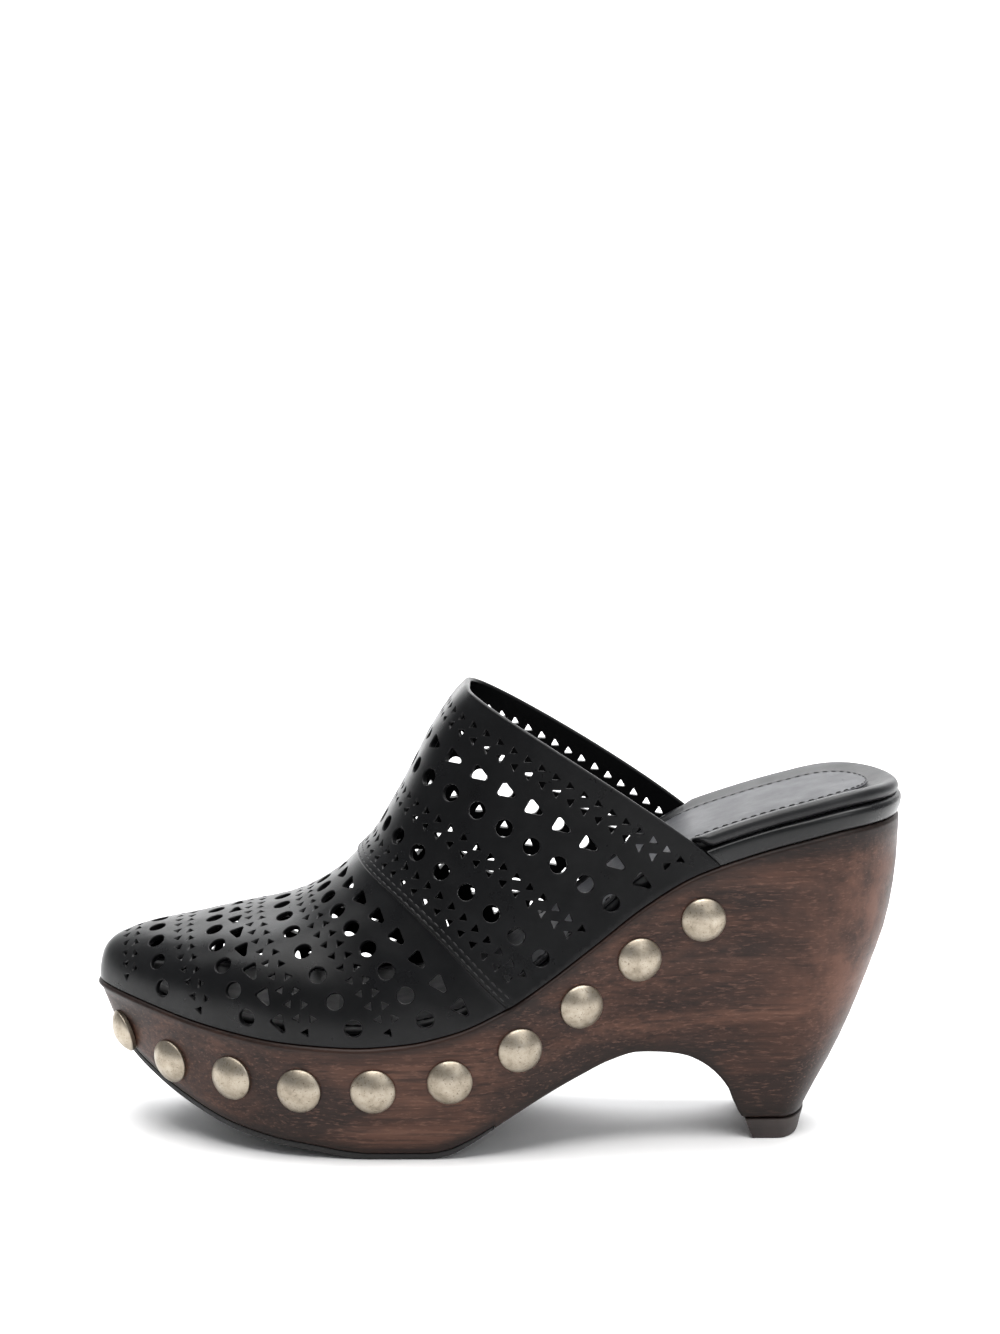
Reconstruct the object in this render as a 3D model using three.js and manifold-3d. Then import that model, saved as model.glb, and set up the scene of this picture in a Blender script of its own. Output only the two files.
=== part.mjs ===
import * as THREE from "three";
import Module from "manifold-3d";

// A studded wooden clog mule, left foot. X runs from toe to heel, Y towards the inner side of the
// foot, Z up. The tables measure from the toe tip, and the finished group is then moved so that
// its origin is the middle of the shoe's footprint on the floor. All lengths are in millimetres.

// Last and sole
const LENGTH = 248.5; // toe tip to the back of the wood
const BALL_WIDTH = 88; // plan width of the wood across the ball
const HEEL_WIDTH = 59.5; // plan width of the wood at the heel seat
const TOE_OFFSET = 9; // how far the toe tip lies to the inner side of the heel's centre line
const PLATFORM = 35; // floor to the top of the wood under the ball
const TOE_LIFT = 9; // rise of the wood's top from the ball to the toe tip
const HEEL_HEIGHT = 99; // floor to the top of the wood at the back of the heel
const TOE_SPRING = 26; // floor to the lower edge of the wood at the toe tip
const ARCH_HEIGHT = 29.2; // floor to the highest point of the arch
const TREAD_LENGTH = 15.5; // heel tread, front to back
const TREAD_WIDTH = 41; // heel tread, side to side
const SEAT_ROUND = 30; // depth of the round back of the heel in plan, at the seat
const TREAD_ROUND = 8; // depth of the round back of the heel in plan, at the tread
const BREAST_LEAN = 2.5; // how far the heel's front face leans back through the tread block
const SIDE_DRAFT = 0.08; // inward lean of the platform's sides, as a slope
const EDGE_ROUND = 1.6; // radius on the wood's upper and lower edges
const OUTSOLE = 1.5; // rubber under the forefoot
const OUTSOLE_INSET = 0.8; // from the wood's edge in to the rubber's edge
const OUTSOLE_THIN = 0.44; // where the rubber begins to thin on its way up the arch, as a share
const OUTSOLE_END = 0.5; // where it ends
const OUTSOLE_TAIL = 0.5; // share of its thickness left at its end
const BREAST = 0.858; // place on the top edge above the foot of the heel's front face, as a share
const HEEL_LIFT = 6.2; // thickness of the tread block
const GAP = 0.3; // clearance between neighbouring pieces

// Upper
const INSTEP_HEIGHT = 50; // wood to the ridge at the seam
const COLLAR_HEIGHT = 97.2; // wood to the peak of the collar
const WALL = 1.8; // leather and lining
const FOOT_INSET = 0.6; // from the wood's edge in to the outer face of upper and side band
const SEAM_STEP = 0.8; // how far the rear panel stands proud of the vamp at the lapped seam
const LAP = 11; // width of the lap, over which that step dies away
const LAP_REST = 0.3; // share of the step that stays
const ROUND_HOLE = 5.2; // diameter of a round hole
const DROP_HOLE = 5.6; // length of a rounded three-cornered hole
const HOLE_MARGIN = 7; // from the foot to the centre of a row's first hole

// Footbed
const PAD_FORE = 4.5; // padding under the ball
const PAD_CLEAR = 1.5; // from the upper's inner face to the padding
const PAD_RISE = { from: 0.42, to: 0.74 }; // where the padding climbs to the rim's height, as shares
const BAND_HEIGHT = 8.9; // side band round the heel seat
const BAND_THICK = 1.5;
const BAND_BULGE = 0.4; // how far the band swells out at half its height
const BAND_LEAN = 0.78; // forward lean of the band's front end along the collar, as a slope
const BAND_FADE = 25; // length over which that lean dies away
const RIM_HEIGHT = 1.8; // rolled rim over the band
const RIM_WIDTH = 4;
const SEAT_DROP = 1.6; // from the top of the rim down to the padding it encloses
const SOCK_THICK = 1; // sock panel
const SOCK_INSET = 9.5; // from the wood's edge in to the sock panel
const SOCK_START = 0.3; // where the sock panel begins, as a share

// Studs
const STUD_DIAMETER = 13.6;
const STUD_HEIGHT = 3.3;
const STUD_EDGE = 0.5; // straight edge under the dome

// Plan outline of the wood's top: each side in shares of half the ball width or half the heel
// width, measured from the heel's centre line
const PLAN = [
  { along: 0.021, lateral: -0.084, medial: 0.443, width: BALL_WIDTH },
  { along: 0.095, lateral: -0.49, medial: 0.716, width: BALL_WIDTH },
  { along: 0.179, lateral: -0.8, medial: 0.875, width: BALL_WIDTH },
  { along: 0.263, lateral: -0.985, medial: 0.945, width: BALL_WIDTH },
  { along: 0.355, lateral: -1.045, medial: 0.955, width: BALL_WIDTH },
  { along: 0.447, lateral: -1.045, medial: 0.898, width: BALL_WIDTH },
  { along: 0.531, lateral: -0.977, medial: 0.818, width: BALL_WIDTH },
  { along: 0.604, lateral: -1.26, medial: 1.08, width: HEEL_WIDTH },
  { along: 0.674, lateral: -1.12, medial: 1.02, width: HEEL_WIDTH },
  { along: 0.751, lateral: -1.04, medial: 1, width: HEEL_WIDTH },
  { along: 0.875, lateral: -1, medial: 1, width: HEEL_WIDTH },
  { along: 1, lateral: -1, medial: 1, width: HEEL_WIDTH },
];

// Height of the wood's top: toe is a share of the toe lift, heel a share of the rise to the heel
const TOP_LINE = [
  { along: 0, toe: 1, heel: 0 },
  { along: 0.05, toe: 0.82, heel: 0 },
  { along: 0.14, toe: 0.39, heel: 0 },
  { along: 0.24, toe: 0.09, heel: 0 },
  { along: 0.33, toe: 0, heel: 0 },
  { along: 0.39, toe: 0, heel: 0.016 },
  { along: 0.45, toe: 0, heel: 0.069 },
  { along: 0.51, toe: 0, heel: 0.17 },
  { along: 0.56, toe: 0, heel: 0.288 },
  { along: 0.62, toe: 0, heel: 0.453 },
  { along: 0.68, toe: 0, heel: 0.627 },
  { along: 0.74, toe: 0, heel: 0.764 },
  { along: 0.8, toe: 0, heel: 0.848 },
  { along: 0.86, toe: 0, heel: 0.916 },
  { along: 0.93, toe: 0, heel: 0.978 },
  { along: 1, toe: 0, heel: 1 },
];

// Side of the sole: the place on the tread edge below each place on the top edge, with its height
// as a share of the toe spring or of the arch
const SOLE_EDGE = [
  { top: 0, low: 0.03, spring: 1, arch: 0 },
  { top: 0.006, low: 0.035, spring: 0.93, arch: 0 },
  { top: 0.022, low: 0.049, spring: 0.83, arch: 0 },
  { top: 0.048, low: 0.073, spring: 0.68, arch: 0 },
  { top: 0.085, low: 0.105, spring: 0.52, arch: 0 },
  { top: 0.13, low: 0.144, spring: 0.36, arch: 0 },
  { top: 0.178, low: 0.185, spring: 0.235, arch: 0 },
  { top: 0.231, low: 0.235, spring: 0.14, arch: 0 },
  { top: 0.282, low: 0.283, spring: 0.08, arch: 0 },
  { top: 0.323, low: 0.323, spring: 0.022, arch: 0 },
  { top: 0.35, low: 0.35, spring: 0, arch: 0 },
  { top: 0.385, low: 0.385, spring: 0, arch: 0 },
  { top: 0.42, low: 0.42, spring: 0, arch: 0 },
  { top: 0.443, low: 0.443, spring: 0, arch: 0.035 },
  { top: 0.47, low: 0.47, spring: 0, arch: 0.15 },
  { top: 0.511, low: 0.511, spring: 0, arch: 0.373 },
  { top: 0.556, low: 0.556, spring: 0, arch: 0.6 },
  { top: 0.6, low: 0.6, spring: 0, arch: 0.785 },
  { top: 0.64, low: 0.64, spring: 0, arch: 0.934 },
  { top: 0.674, low: 0.673, spring: 0, arch: 1 },
  { top: 0.708, low: 0.703, spring: 0, arch: 0.983 },
  { top: 0.74, low: 0.732, spring: 0, arch: 0.937 },
  { top: 0.77, low: 0.754, spring: 0, arch: 0.845 },
  { top: 0.796, low: 0.771, spring: 0, arch: 0.726 },
  { top: 0.82, low: 0.786, spring: 0, arch: 0.56 },
  { top: 0.84, low: 0.795, spring: 0, arch: 0.38 },
];

// Back of the heel in profile: how far it lies ahead of the back of the seat, in shares of the
// length, at each share of the heel height
const HEEL_BACK = [
  { height: 0, ahead: 0.12 },
  { height: 0.05, ahead: 0.115 },
  { height: 0.13, ahead: 0.102 },
  { height: 0.23, ahead: 0.08 },
  { height: 0.33, ahead: 0.061 },
  { height: 0.45, ahead: 0.042 },
  { height: 0.56, ahead: 0.026 },
  { height: 0.66, ahead: 0.0135 },
  { height: 0.76, ahead: 0.006 },
  { height: 0.88, ahead: 0.0015 },
  { height: 1, ahead: 0 },
];

// Ridge of the upper: height over the wood as a share of the instep height, then as a share of
// what the collar stands over the instep
const RIDGE = [
  { along: 0, instep: 0, collar: 0 },
  { along: 0.004, instep: 0.15, collar: 0 },
  { along: 0.016, instep: 0.245, collar: 0 },
  { along: 0.047, instep: 0.34, collar: 0 },
  { along: 0.115, instep: 0.475, collar: 0 },
  { along: 0.182, instep: 0.598, collar: 0 },
  { along: 0.249, instep: 0.71, collar: 0 },
  { along: 0.3, instep: 0.865, collar: 0 },
  { along: 0.328, instep: 1, collar: 0 },
  { along: 0.346, instep: 1, collar: 0.108 },
  { along: 0.363, instep: 1, collar: 0.255 },
  { along: 0.3835, instep: 1, collar: 0.433 },
  { along: 0.4, instep: 1, collar: 0.594 },
  { along: 0.4165, instep: 1, collar: 0.745 },
  { along: 0.433, instep: 1, collar: 0.864 },
  { along: 0.45, instep: 1, collar: 0.963 },
  { along: 0.461, instep: 1, collar: 1 },
];

// Sections of the upper: each runs from the ridge down to a place on the wood's edge further back.
// offset is the ridge's place in shares of the toe offset and full the exponent of the section's
// curve. lateral and medial say how far its middle is carried back on each side, in shares of the
// length, and high where: above 1 nearer to the ridge, below 1 nearer to the foot.
const SECTIONS = [
  { ridge: 0, foot: 0, offset: 1, full: 2.1, lateral: 0, medial: 0, high: 1 },
  { ridge: 0.031, foot: 0.033, offset: 0.95, full: 2.15, lateral: 0, medial: 0, high: 1 },
  { ridge: 0.0755, foot: 0.098, offset: 0.87, full: 2.2, lateral: 0, medial: 0, high: 1 },
  { ridge: 0.11, foot: 0.156, offset: 0.8, full: 2.25, lateral: 0, medial: 0, high: 1 },
  { ridge: 0.148, foot: 0.214, offset: 0.72, full: 2.3, lateral: 0, medial: 0, high: 1.2 },
  { ridge: 0.198, foot: 0.293, offset: 0.6, full: 2.35, lateral: 0.004, medial: 0.004, high: 1.4 },
  { ridge: 0.262, foot: 0.397, offset: 0.45, full: 2.4, lateral: 0.009, medial: 0.009, high: 1.5 },
  { ridge: 0.308, foot: 0.479, offset: 0.35, full: 2.5, lateral: 0.014, medial: 0.014, high: 1.6 },
  { ridge: 0.328, foot: 0.515, offset: 0.3, full: 2.6, lateral: 0.016, medial: 0.016, high: 1.6 },
  { ridge: 0.3614, foot: 0.577, offset: 0.25, full: 2.9, lateral: 0.015, medial: 0.016, high: 1.4 },
  { ridge: 0.4024, foot: 0.668, offset: 0.18, full: 3.4, lateral: 0.012, medial: 0.016, high: 1.1 },
  { ridge: 0.437, foot: 0.737, offset: 0.12, full: 3.8, lateral: 0.011, medial: 0.018, high: 0.9 },
  { ridge: 0.461, foot: 0.77, offset: 0.1, full: 4, lateral: 0.01, medial: 0.018, high: 0.75 },
];
const SEAM = 0.328; // the lapped seam's section
const COLLAR = 0.461; // the last section

// Rows of large holes: the section they follow, their shape and how many there are from edge to edge
const HOLE_ROWS = [
  { ridge: 0.148, shape: "round", count: 12 },
  { ridge: 0.232, shape: "round", count: 14 },
  { ridge: 0.284, shape: "round", count: 16 },
  { ridge: 0.308, shape: "drop", count: 16 },
  { ridge: 0.3614, shape: "round", count: 17 },
  { ridge: 0.4, shape: "round", count: 19 },
  { ridge: 0.4175, shape: "drop", count: 20 },
];

// Studs on each side: place along the top edge and share of the way down the wood's side
const STUDS = [
  { along: 0.02, down: 0.66 },
  { along: 0.09, down: 0.6 },
  { along: 0.178, down: 0.46 },
  { along: 0.264, down: 0.43 },
  { along: 0.354, down: 0.38 },
  { along: 0.446, down: 0.38 },
  { along: 0.53, down: 0.43 },
  { along: 0.604, down: 0.41 },
  { along: 0.675, down: 0.34 },
  { along: 0.755, down: 0.25 },
];

const wasm = await Module();
wasm.setup();

const leather = new THREE.MeshStandardMaterial({ color: 0x17171a, roughness: 0.42, metalness: 0 });
const lining = new THREE.MeshStandardMaterial({ color: 0x1d1d20, roughness: 0.5, metalness: 0 });
const sockLeather = new THREE.MeshStandardMaterial({ color: 0x2a2a2e, roughness: 0.5, metalness: 0 });
const wood = new THREE.MeshStandardMaterial({ color: 0x4a332a, roughness: 0.5, metalness: 0 });
const rubber = new THREE.MeshStandardMaterial({ color: 0x1b1a19, roughness: 0.8, metalness: 0 });
const liftRubber = new THREE.MeshStandardMaterial({ color: 0x2b1f1b, roughness: 0.7, metalness: 0 });
const brass = new THREE.MeshStandardMaterial({ color: 0xa2947a, roughness: 0.35, metalness: 1 });

// A smooth curve through a table's rows that never overshoots them. warp stretches the key, so
// that a square root gives an end with an upright tangent.
function curve(rows, key, value, warp = (k) => k) {
  const x = rows.map((row) => warp(row[key]));
  const y = rows.map(value);
  const slope = (i) => (y[i + 1] - y[i]) / (x[i + 1] - x[i]);
  const tangent = x.map((_, i) => {
    if (i === 0) return slope(0);
    if (i === x.length - 1) return slope(i - 1);
    const [a, b] = [slope(i - 1), slope(i)];
    return a * b <= 0 ? 0 : (2 * a * b) / (a + b);
  });
  return (at) => {
    const k = warp(at);
    let i = 0;
    while (i < x.length - 2 && k > x[i + 1]) i += 1;
    const h = x[i + 1] - x[i];
    const t = THREE.MathUtils.clamp((k - x[i]) / h, 0, 1);
    const [t2, t3] = [t * t, t * t * t];
    return (2 * t3 - 3 * t2 + 1) * y[i] + (t3 - 2 * t2 + t) * h * tangent[i]
      + (3 * t2 - 2 * t3) * y[i + 1] + (t3 - t2) * h * tangent[i + 1];
  };
}

const vector = (x, y, z) => new THREE.Vector3(x, y, z);
const lerp = THREE.MathUtils.lerp;
const ramp = (value, from, to) => THREE.MathUtils.smoothstep(value, from, to);

// Lines of the sole
const sides = ["lateral", "medial"];
const signOf = (side) => (side === "lateral" ? -1 : 1);
const tipRow = { along: 0, lateral: (2 * TOE_OFFSET) / BALL_WIDTH, medial: (2 * TOE_OFFSET) / BALL_WIDTH,
  width: BALL_WIDTH };
const planCurve = Object.fromEntries(sides.map((side) => [
  side, curve([tipRow, ...PLAN], "along", (row) => (row[side] * row.width) / 2, Math.sqrt)]));
const topHeight = curve(
  TOP_LINE, "along", (row) => PLATFORM + row.toe * TOE_LIFT + row.heel * (HEEL_HEIGHT - PLATFORM));
const heelBack = curve(HEEL_BACK, "height", (row) => (1 - row.ahead) * LENGTH);
const ROUND_START = 1 - SEAT_ROUND / LENGTH; // where the heel's round back begins, as a share
const BLOCK_TOP = HEEL_LIFT + GAP; // lowest level of the wood in the heel
const TREAD_BACK = heelBack(0);
const TREAD_FRONT = TREAD_BACK - TREAD_LENGTH;
const blockBack = heelBack(BLOCK_TOP / HEEL_HEIGHT);
const blockRound = lerp(TREAD_ROUND, SEAT_ROUND, BLOCK_TOP / HEEL_HEIGHT);
const blockRow = (top, low) => ({ top, low: low / LENGTH, spring: 0, arch: BLOCK_TOP / ARCH_HEIGHT });
const edgeRows = [
  ...SOLE_EDGE, blockRow(BREAST, TREAD_FRONT - BREAST_LEAN), blockRow(ROUND_START, blockBack - blockRound)];
const lowAlong = curve(edgeRows, "top", (row) => row.low);
const lowHeight = curve(edgeRows, "top", (row) => row.spring * TOE_SPRING + row.arch * ARCH_HEIGHT);

// A point on the sole's side. at runs from the toe tip to the back of the heel along the top edge,
// as a share of the length as far as the heel's round back and of its turn from there on; down runs
// from the top edge to the tread edge.
function solePoint(side, at, down) {
  const flat = Math.min(at, ROUND_START);
  const turn = (Math.max(0, at - ROUND_START) / (1 - ROUND_START)) * (Math.PI / 2);
  const edge = planCurve[side](flat);
  const heelLean = (HEEL_WIDTH - TREAD_WIDTH) / 2 / HEEL_HEIGHT;
  const draft = lerp(SIDE_DRAFT, heelLean, ramp(flat, 0.5, 0.8));
  const lean = draft * Math.min(1, Math.abs(edge - TOE_OFFSET) / 20);
  const z = lerp(topHeight(topAlong(at)), lowHeight(flat), down);
  const side0 = edge - signOf(side) * (topHeight(flat) - lerp(topHeight(flat), lowHeight(flat), down)) * lean;
  const x = lerp(flat, lowAlong(flat), down) * LENGTH;
  return vector(lerp(x, heelBack(z / HEEL_HEIGHT), Math.sin(turn)), side0 * Math.cos(turn), z);
}

// Share of the length that a place on the top edge has
function topAlong(at) {
  const turn = (Math.max(0, at - ROUND_START) / (1 - ROUND_START)) * (Math.PI / 2);
  return lerp(Math.min(at, ROUND_START), 1, Math.sin(turn));
}

// Direction out of the outline, level with the floor
function outward(side, at, down) {
  if (at <= 0) return vector(-1, 0, 0);
  if (at >= 1) return vector(1, 0, 0);
  const step = 1e-4;
  const ahead = solePoint(side, Math.min(1, at + step), down);
  const along = ahead.sub(solePoint(side, Math.max(0, at - step), down)).setZ(0).normalize();
  return vector(along.y, -along.x, 0).multiplyScalar(-signOf(side));
}

// A point set in from the top edge, at a height over the wood
function edgePoint(side, at, inset, height) {
  const point = solePoint(side, at, 0).addScaledVector(outward(side, at, 0), -inset);
  point.z = topHeight(THREE.MathUtils.clamp(point.x / LENGTH, 0, 1)) + height;
  return point;
}

// A point set in from the tread edge, at a height over it; it keeps to the edge's slope
function treadPoint(side, at, inset, height) {
  const point = solePoint(side, at, 1);
  const move = outward(side, at, 1).multiplyScalar(-inset);
  const [ahead, behind] = [Math.min(ROUND_START, at + 1e-4), Math.max(0, Math.min(at, ROUND_START) - 1e-4)];
  const slope = (lowHeight(ahead) - lowHeight(behind)) / (lowAlong(ahead) - lowAlong(behind)) / LENGTH;
  return point.add(move).setZ(point.z + move.x * slope + height);
}

// Solid of a list of rings with as many points each, each ring closed. An end whose ring has
// collapsed to a line needs no cap.
function loft(rings, capStart = false, capEnd = false) {
  const size = rings[0].length;
  const positions = rings.flat().flatMap((p) => [p.x, p.y, p.z]);
  const index = [];
  for (let r = 0; r < rings.length - 1; r += 1) {
    for (let k = 0; k < size; k += 1) {
      const next = (k + 1) % size;
      const [a, b, c, d] = [r * size + k, r * size + next, (r + 1) * size + next, (r + 1) * size + k];
      index.push(a, b, c, a, c, d);
    }
  }
  const cap = (ring, flip) => {
    for (let k = 1; k < size - 1; k += 1) {
      const [a, b, c] = [ring * size, ring * size + k, ring * size + k + 1];
      index.push(...(flip ? [c, b, a] : [a, b, c]));
    }
  };
  if (capStart) cap(0, true);
  if (capEnd) cap(rings.length - 1, false);
  return solidFrom(positions, index);
}

// Merges equal points, drops the triangles that collapse and turns the faces outward
function solidFrom(positions, index) {
  const keys = new Map();
  const merged = [];
  const remap = [];
  for (let i = 0; i < positions.length; i += 3) {
    const key = positions.slice(i, i + 3).map((value) => Math.round(value * 1e3) + 0).join();
    if (!keys.has(key)) {
      keys.set(key, merged.length / 3);
      merged.push(positions[i], positions[i + 1], positions[i + 2]);
    }
    remap.push(keys.get(key));
  }
  const triangles = [];
  let volume = 0;
  for (let i = 0; i < index.length; i += 3) {
    const [a, b, c] = [remap[index[i]], remap[index[i + 1]], remap[index[i + 2]]];
    if (a === b || b === c || a === c) continue;
    triangles.push(a, b, c);
    const [p, q, r] = [a, b, c].map((v) => new THREE.Vector3().fromArray(merged, v * 3));
    volume += p.dot(q.cross(r));
  }
  if (volume < 0) triangles.reverse();
  return new wasm.Manifold(new wasm.Mesh({
    numProp: 3, vertProperties: new Float32Array(merged), triVerts: new Uint32Array(triangles),
  }));
}

function meshOf(name, solid, material) {
  const data = solid.getMesh();
  const geometry = new THREE.BufferGeometry();
  geometry.setAttribute("position", new THREE.BufferAttribute(data.vertProperties, 3));
  geometry.setIndex(new THREE.BufferAttribute(data.triVerts, 1));
  geometry.computeVertexNormals();
  const mesh = new THREE.Mesh(geometry, material);
  mesh.name = name;
  return mesh;
}

// Places along the sole, shared by the pieces that follow it
const HEEL_TURNS = 6;
const turns = Array.from({ length: HEEL_TURNS }, (_, k) => lerp(ROUND_START, 1, (k + 1) / HEEL_TURNS));
const hollows = [0.456, 0.49, 0.533, 0.578, 0.62]; // extra places where the top line bends
const soleStations = [...edgeRows.map((row) => row.top), ...hollows, ...turns].sort((a, b) => a - b);
const between = (from, to) => [from, ...soleStations.filter((at) => at > from && at < to), to];

// How thick the rubber is at a place, and how far the wood stands off the tread line there
const outsoleThick = (at) => OUTSOLE * lerp(1, OUTSOLE_TAIL, ramp(at, OUTSOLE_THIN, OUTSOLE_END));
const woodStand = (at) => (at <= OUTSOLE_END ? outsoleThick(at) + GAP : 0);

function woodSole() {
  const step = OUTSOLE_END + (3 * GAP) / LENGTH; // the rubber's end stands clear of the wood
  const stations = [...soleStations, OUTSOLE_END, step].sort((a, b) => a - b);
  const round = [[1, 0], [0.3, 0.3], [0, 1]].map(([inset, drop]) => [inset * EDGE_ROUND, drop * EDGE_ROUND]);
  const edge = (side, at) => [
    ...round.map(([inset, drop]) => edgePoint(side, at, inset, -drop)),
    ...[0.3, 0.65].map((down) => solePoint(side, at, down)),
    treadPoint(side, at, 0, woodStand(at) + EDGE_ROUND),
    treadPoint(side, at, EDGE_ROUND, woodStand(at)),
  ];
  return loft(stations.map((at) => [...edge("lateral", at), ...edge("medial", at).reverse()]));
}

function outsole() {
  const stations = between(0, OUTSOLE_END);
  return loft(stations.map((at) => {
    const [left, right] = sides.map(
      (side) => [0, outsoleThick(at)].map((rise) => treadPoint(side, at, OUTSOLE_INSET, rise)));
    return [left[1], left[0], right[0], right[1]];
  }), false, true);
}

// The tread block: the heel's own outline at two levels
function heelLift() {
  const outline = (z) => {
    const back = heelBack(z / HEEL_HEIGHT);
    const round = lerp(TREAD_ROUND, SEAT_ROUND, z / HEEL_HEIGHT);
    const low = solePoint("medial", ROUND_START, 1);
    const half = low.y - (BLOCK_TOP - z) * ((HEEL_WIDTH - TREAD_WIDTH) / 2 / HEEL_HEIGHT);
    const front = TREAD_FRONT - (BREAST_LEAN * z) / BLOCK_TOP;
    const arc = Array.from({ length: 13 }, (_, k) => (k / 12 - 0.5) * Math.PI);
    return [
      vector(front, half, z), vector(front, -half, z),
      ...arc.map((turn) => vector(back - round * (1 - Math.cos(turn)), half * Math.sin(turn), z)),
    ];
  };
  return loft([outline(0), outline(HEEL_LIFT)], true, true);
}

// Upper: places on its sections
const ridgeRise = curve(
  RIDGE, "along",
  (row) => row.instep * INSTEP_HEIGHT + row.collar * (COLLAR_HEIGHT - INSTEP_HEIGHT), Math.sqrt);
const footPlace = curve(SECTIONS, "ridge", (row) => row.foot);
const ridgeOffset = curve(SECTIONS, "ridge", (row) => row.offset * TOE_OFFSET);
const fullness = curve(SECTIONS, "ridge", (row) => row.full);
const bow = Object.fromEntries(
  sides.map((side) => [side, curve(SECTIONS, "ridge", (row) => row[side] * LENGTH)]));
const bowHigh = curve(SECTIONS, "ridge", (row) => row.high);

// A point on a section: sweep runs from 0 at the lateral foot through the ridge to a half turn
function sweepPoint(ridge, sweep) {
  const side = sweep < Math.PI / 2 ? "lateral" : "medial";
  const foot = edgePoint(side, footPlace(ridge), FOOT_INSET, GAP);
  const top = vector(
    ridge * LENGTH + FOOT_INSET, ridgeOffset(ridge), topHeight(ridge) + GAP + ridgeRise(ridge));
  const centre = vector(foot.x, top.y, foot.z);
  const power = 2 / fullness(ridge);
  const across = Math.abs(Math.cos(sweep)) ** power;
  const up = Math.abs(Math.sin(sweep)) ** power;
  const bowed = up ** bowHigh(ridge);
  return centre.clone()
    .add(vector(4 * bowed * (1 - bowed) * bow[side](ridge), 0, 0))
    .addScaledVector(foot.clone().sub(centre), across)
    .addScaledVector(top.clone().sub(centre), up);
}

// The same section by share of its length, with the lapped seam's step in it
const SWEEPS = 96;
const sectionCache = new Map();
function section(ridge) {
  const key = ridge.toFixed(6);
  if (!sectionCache.has(key)) {
    const points = Array.from({ length: SWEEPS + 1 }, (_, k) => sweepPoint(ridge, (k / SWEEPS) * Math.PI));
    const lengths = [0];
    for (let k = 1; k <= SWEEPS; k += 1) lengths.push(lengths[k - 1] + points[k].distanceTo(points[k - 1]));
    sectionCache.set(key, { lengths, total: lengths[SWEEPS] });
  }
  return sectionCache.get(key);
}
function sweepAt(ridge, share) {
  const { lengths, total } = section(ridge);
  const target = share * total;
  let k = 0;
  while (k < SWEEPS - 1 && lengths[k + 1] < target) k += 1;
  const part = (target - lengths[k]) / (lengths[k + 1] - lengths[k] || 1);
  return ((k + THREE.MathUtils.clamp(part, 0, 1)) / SWEEPS) * Math.PI;
}
const skinPoint = (ridge, share) => sweepPoint(ridge, sweepAt(ridge, share));

// Direction out of the upper; at the foot it is level, so that the wall stands on the wood
function skinNormal(ridge, share) {
  const step = 1e-3;
  const ahead = skinPoint(Math.max(1e-4, ridge - step), share);
  const du = skinPoint(Math.min(COLLAR, ridge + step), share).sub(ahead);
  const dv = skinPoint(ridge, Math.min(1, share + step)).sub(skinPoint(ridge, Math.max(0, share - step)));
  const normal = du.cross(dv).normalize();
  if (share <= 0 || share >= 1) normal.setZ(0).normalize();
  return normal;
}

// How proud the outer face stands at a section
const proud = (ridge) => (
  ridge <= SEAM ? 0 : SEAM_STEP * lerp(1, LAP_REST, ramp(ridge, SEAM, SEAM + LAP / LENGTH)));

const UPPER_SECTIONS = [
  0.003, 0.009, 0.019, 0.033, 0.052, 0.076, 0.104, 0.132, 0.164, 0.19, 0.216, 0.248, 0.27, 0.296, 0.3195,
  SEAM - 0.001, SEAM + 0.001, 0.346, 0.379, 0.409, 0.427, 0.444, COLLAR];
const UPPER_STEPS = 16;

function upperShell() {
  const positions = [];
  const index = [];
  const shares = Array.from({ length: UPPER_STEPS + 1 }, (_, k) => k / UPPER_STEPS);
  const tip = edgePoint("lateral", 0, FOOT_INSET, GAP);
  const skins = [0, WALL].map((depth) => {
    const start = positions.length / 3;
    for (const ridge of [0, ...UPPER_SECTIONS]) {
      for (const share of shares) {
        const point = ridge === 0 ? tip.clone().setX(tip.x + depth) : skinPoint(ridge, share);
        if (ridge > 0) {
          const out = depth === 0 ? proud(ridge) : -depth;
          point.addScaledVector(skinNormal(ridge, share), out);
          if (share === 0 || share === 1) point.z = topHeight(point.x / LENGTH) + GAP;
        }
        positions.push(point.x, point.y, point.z);
      }
    }
    return start;
  });
  const width = UPPER_STEPS + 1;
  const rows = UPPER_SECTIONS.length;
  const quad = (a, b, c, d) => index.push(a, b, c, a, c, d);
  for (let r = 0; r < rows; r += 1) {
    for (let k = 0; k < UPPER_STEPS; k += 1) {
      const at = (skin, row, step) => skins[skin] + row * width + step;
      quad(at(0, r, k), at(0, r + 1, k), at(0, r + 1, k + 1), at(0, r, k + 1));
      quad(at(1, r, k), at(1, r, k + 1), at(1, r + 1, k + 1), at(1, r + 1, k));
    }
    for (const [step, turn] of [[0, true], [UPPER_STEPS, false]]) {
      const rim = [0, 0, 1, 1].map((skin, k) => skins[skin] + (r + [0, 1, 1, 0][k]) * width + step);
      quad(...(turn ? rim.reverse() : rim));
    }
  }
  for (let k = 0; k < UPPER_STEPS; k += 1) {
    const [a, b] = skins.map((start) => start + rows * width + k);
    quad(a, b, b + 1, a + 1);
  }
  return solidFrom(positions, index);
}

// Outline of a hole in its own plane: x along the row towards the foot, y towards the collar
const HOLE_SHAPES = {
  round: Array.from({ length: 6 }, (_, k) => {
    const turn = (k / 6) * 2 * Math.PI;
    return [(ROUND_HOLE * 1.05 * Math.cos(turn)) / 2, (ROUND_HOLE * 1.05 * Math.sin(turn)) / 2];
  }),
  drop: [[-0.85, -0.5], [-0.85, 0.5], [-0.4, 0.76], [1, 0.22], [1, -0.22], [-0.4, -0.76]]
    .map(([x, y]) => [(x * DROP_HOLE) / 2, (y * DROP_HOLE) / 2]),
};

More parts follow.
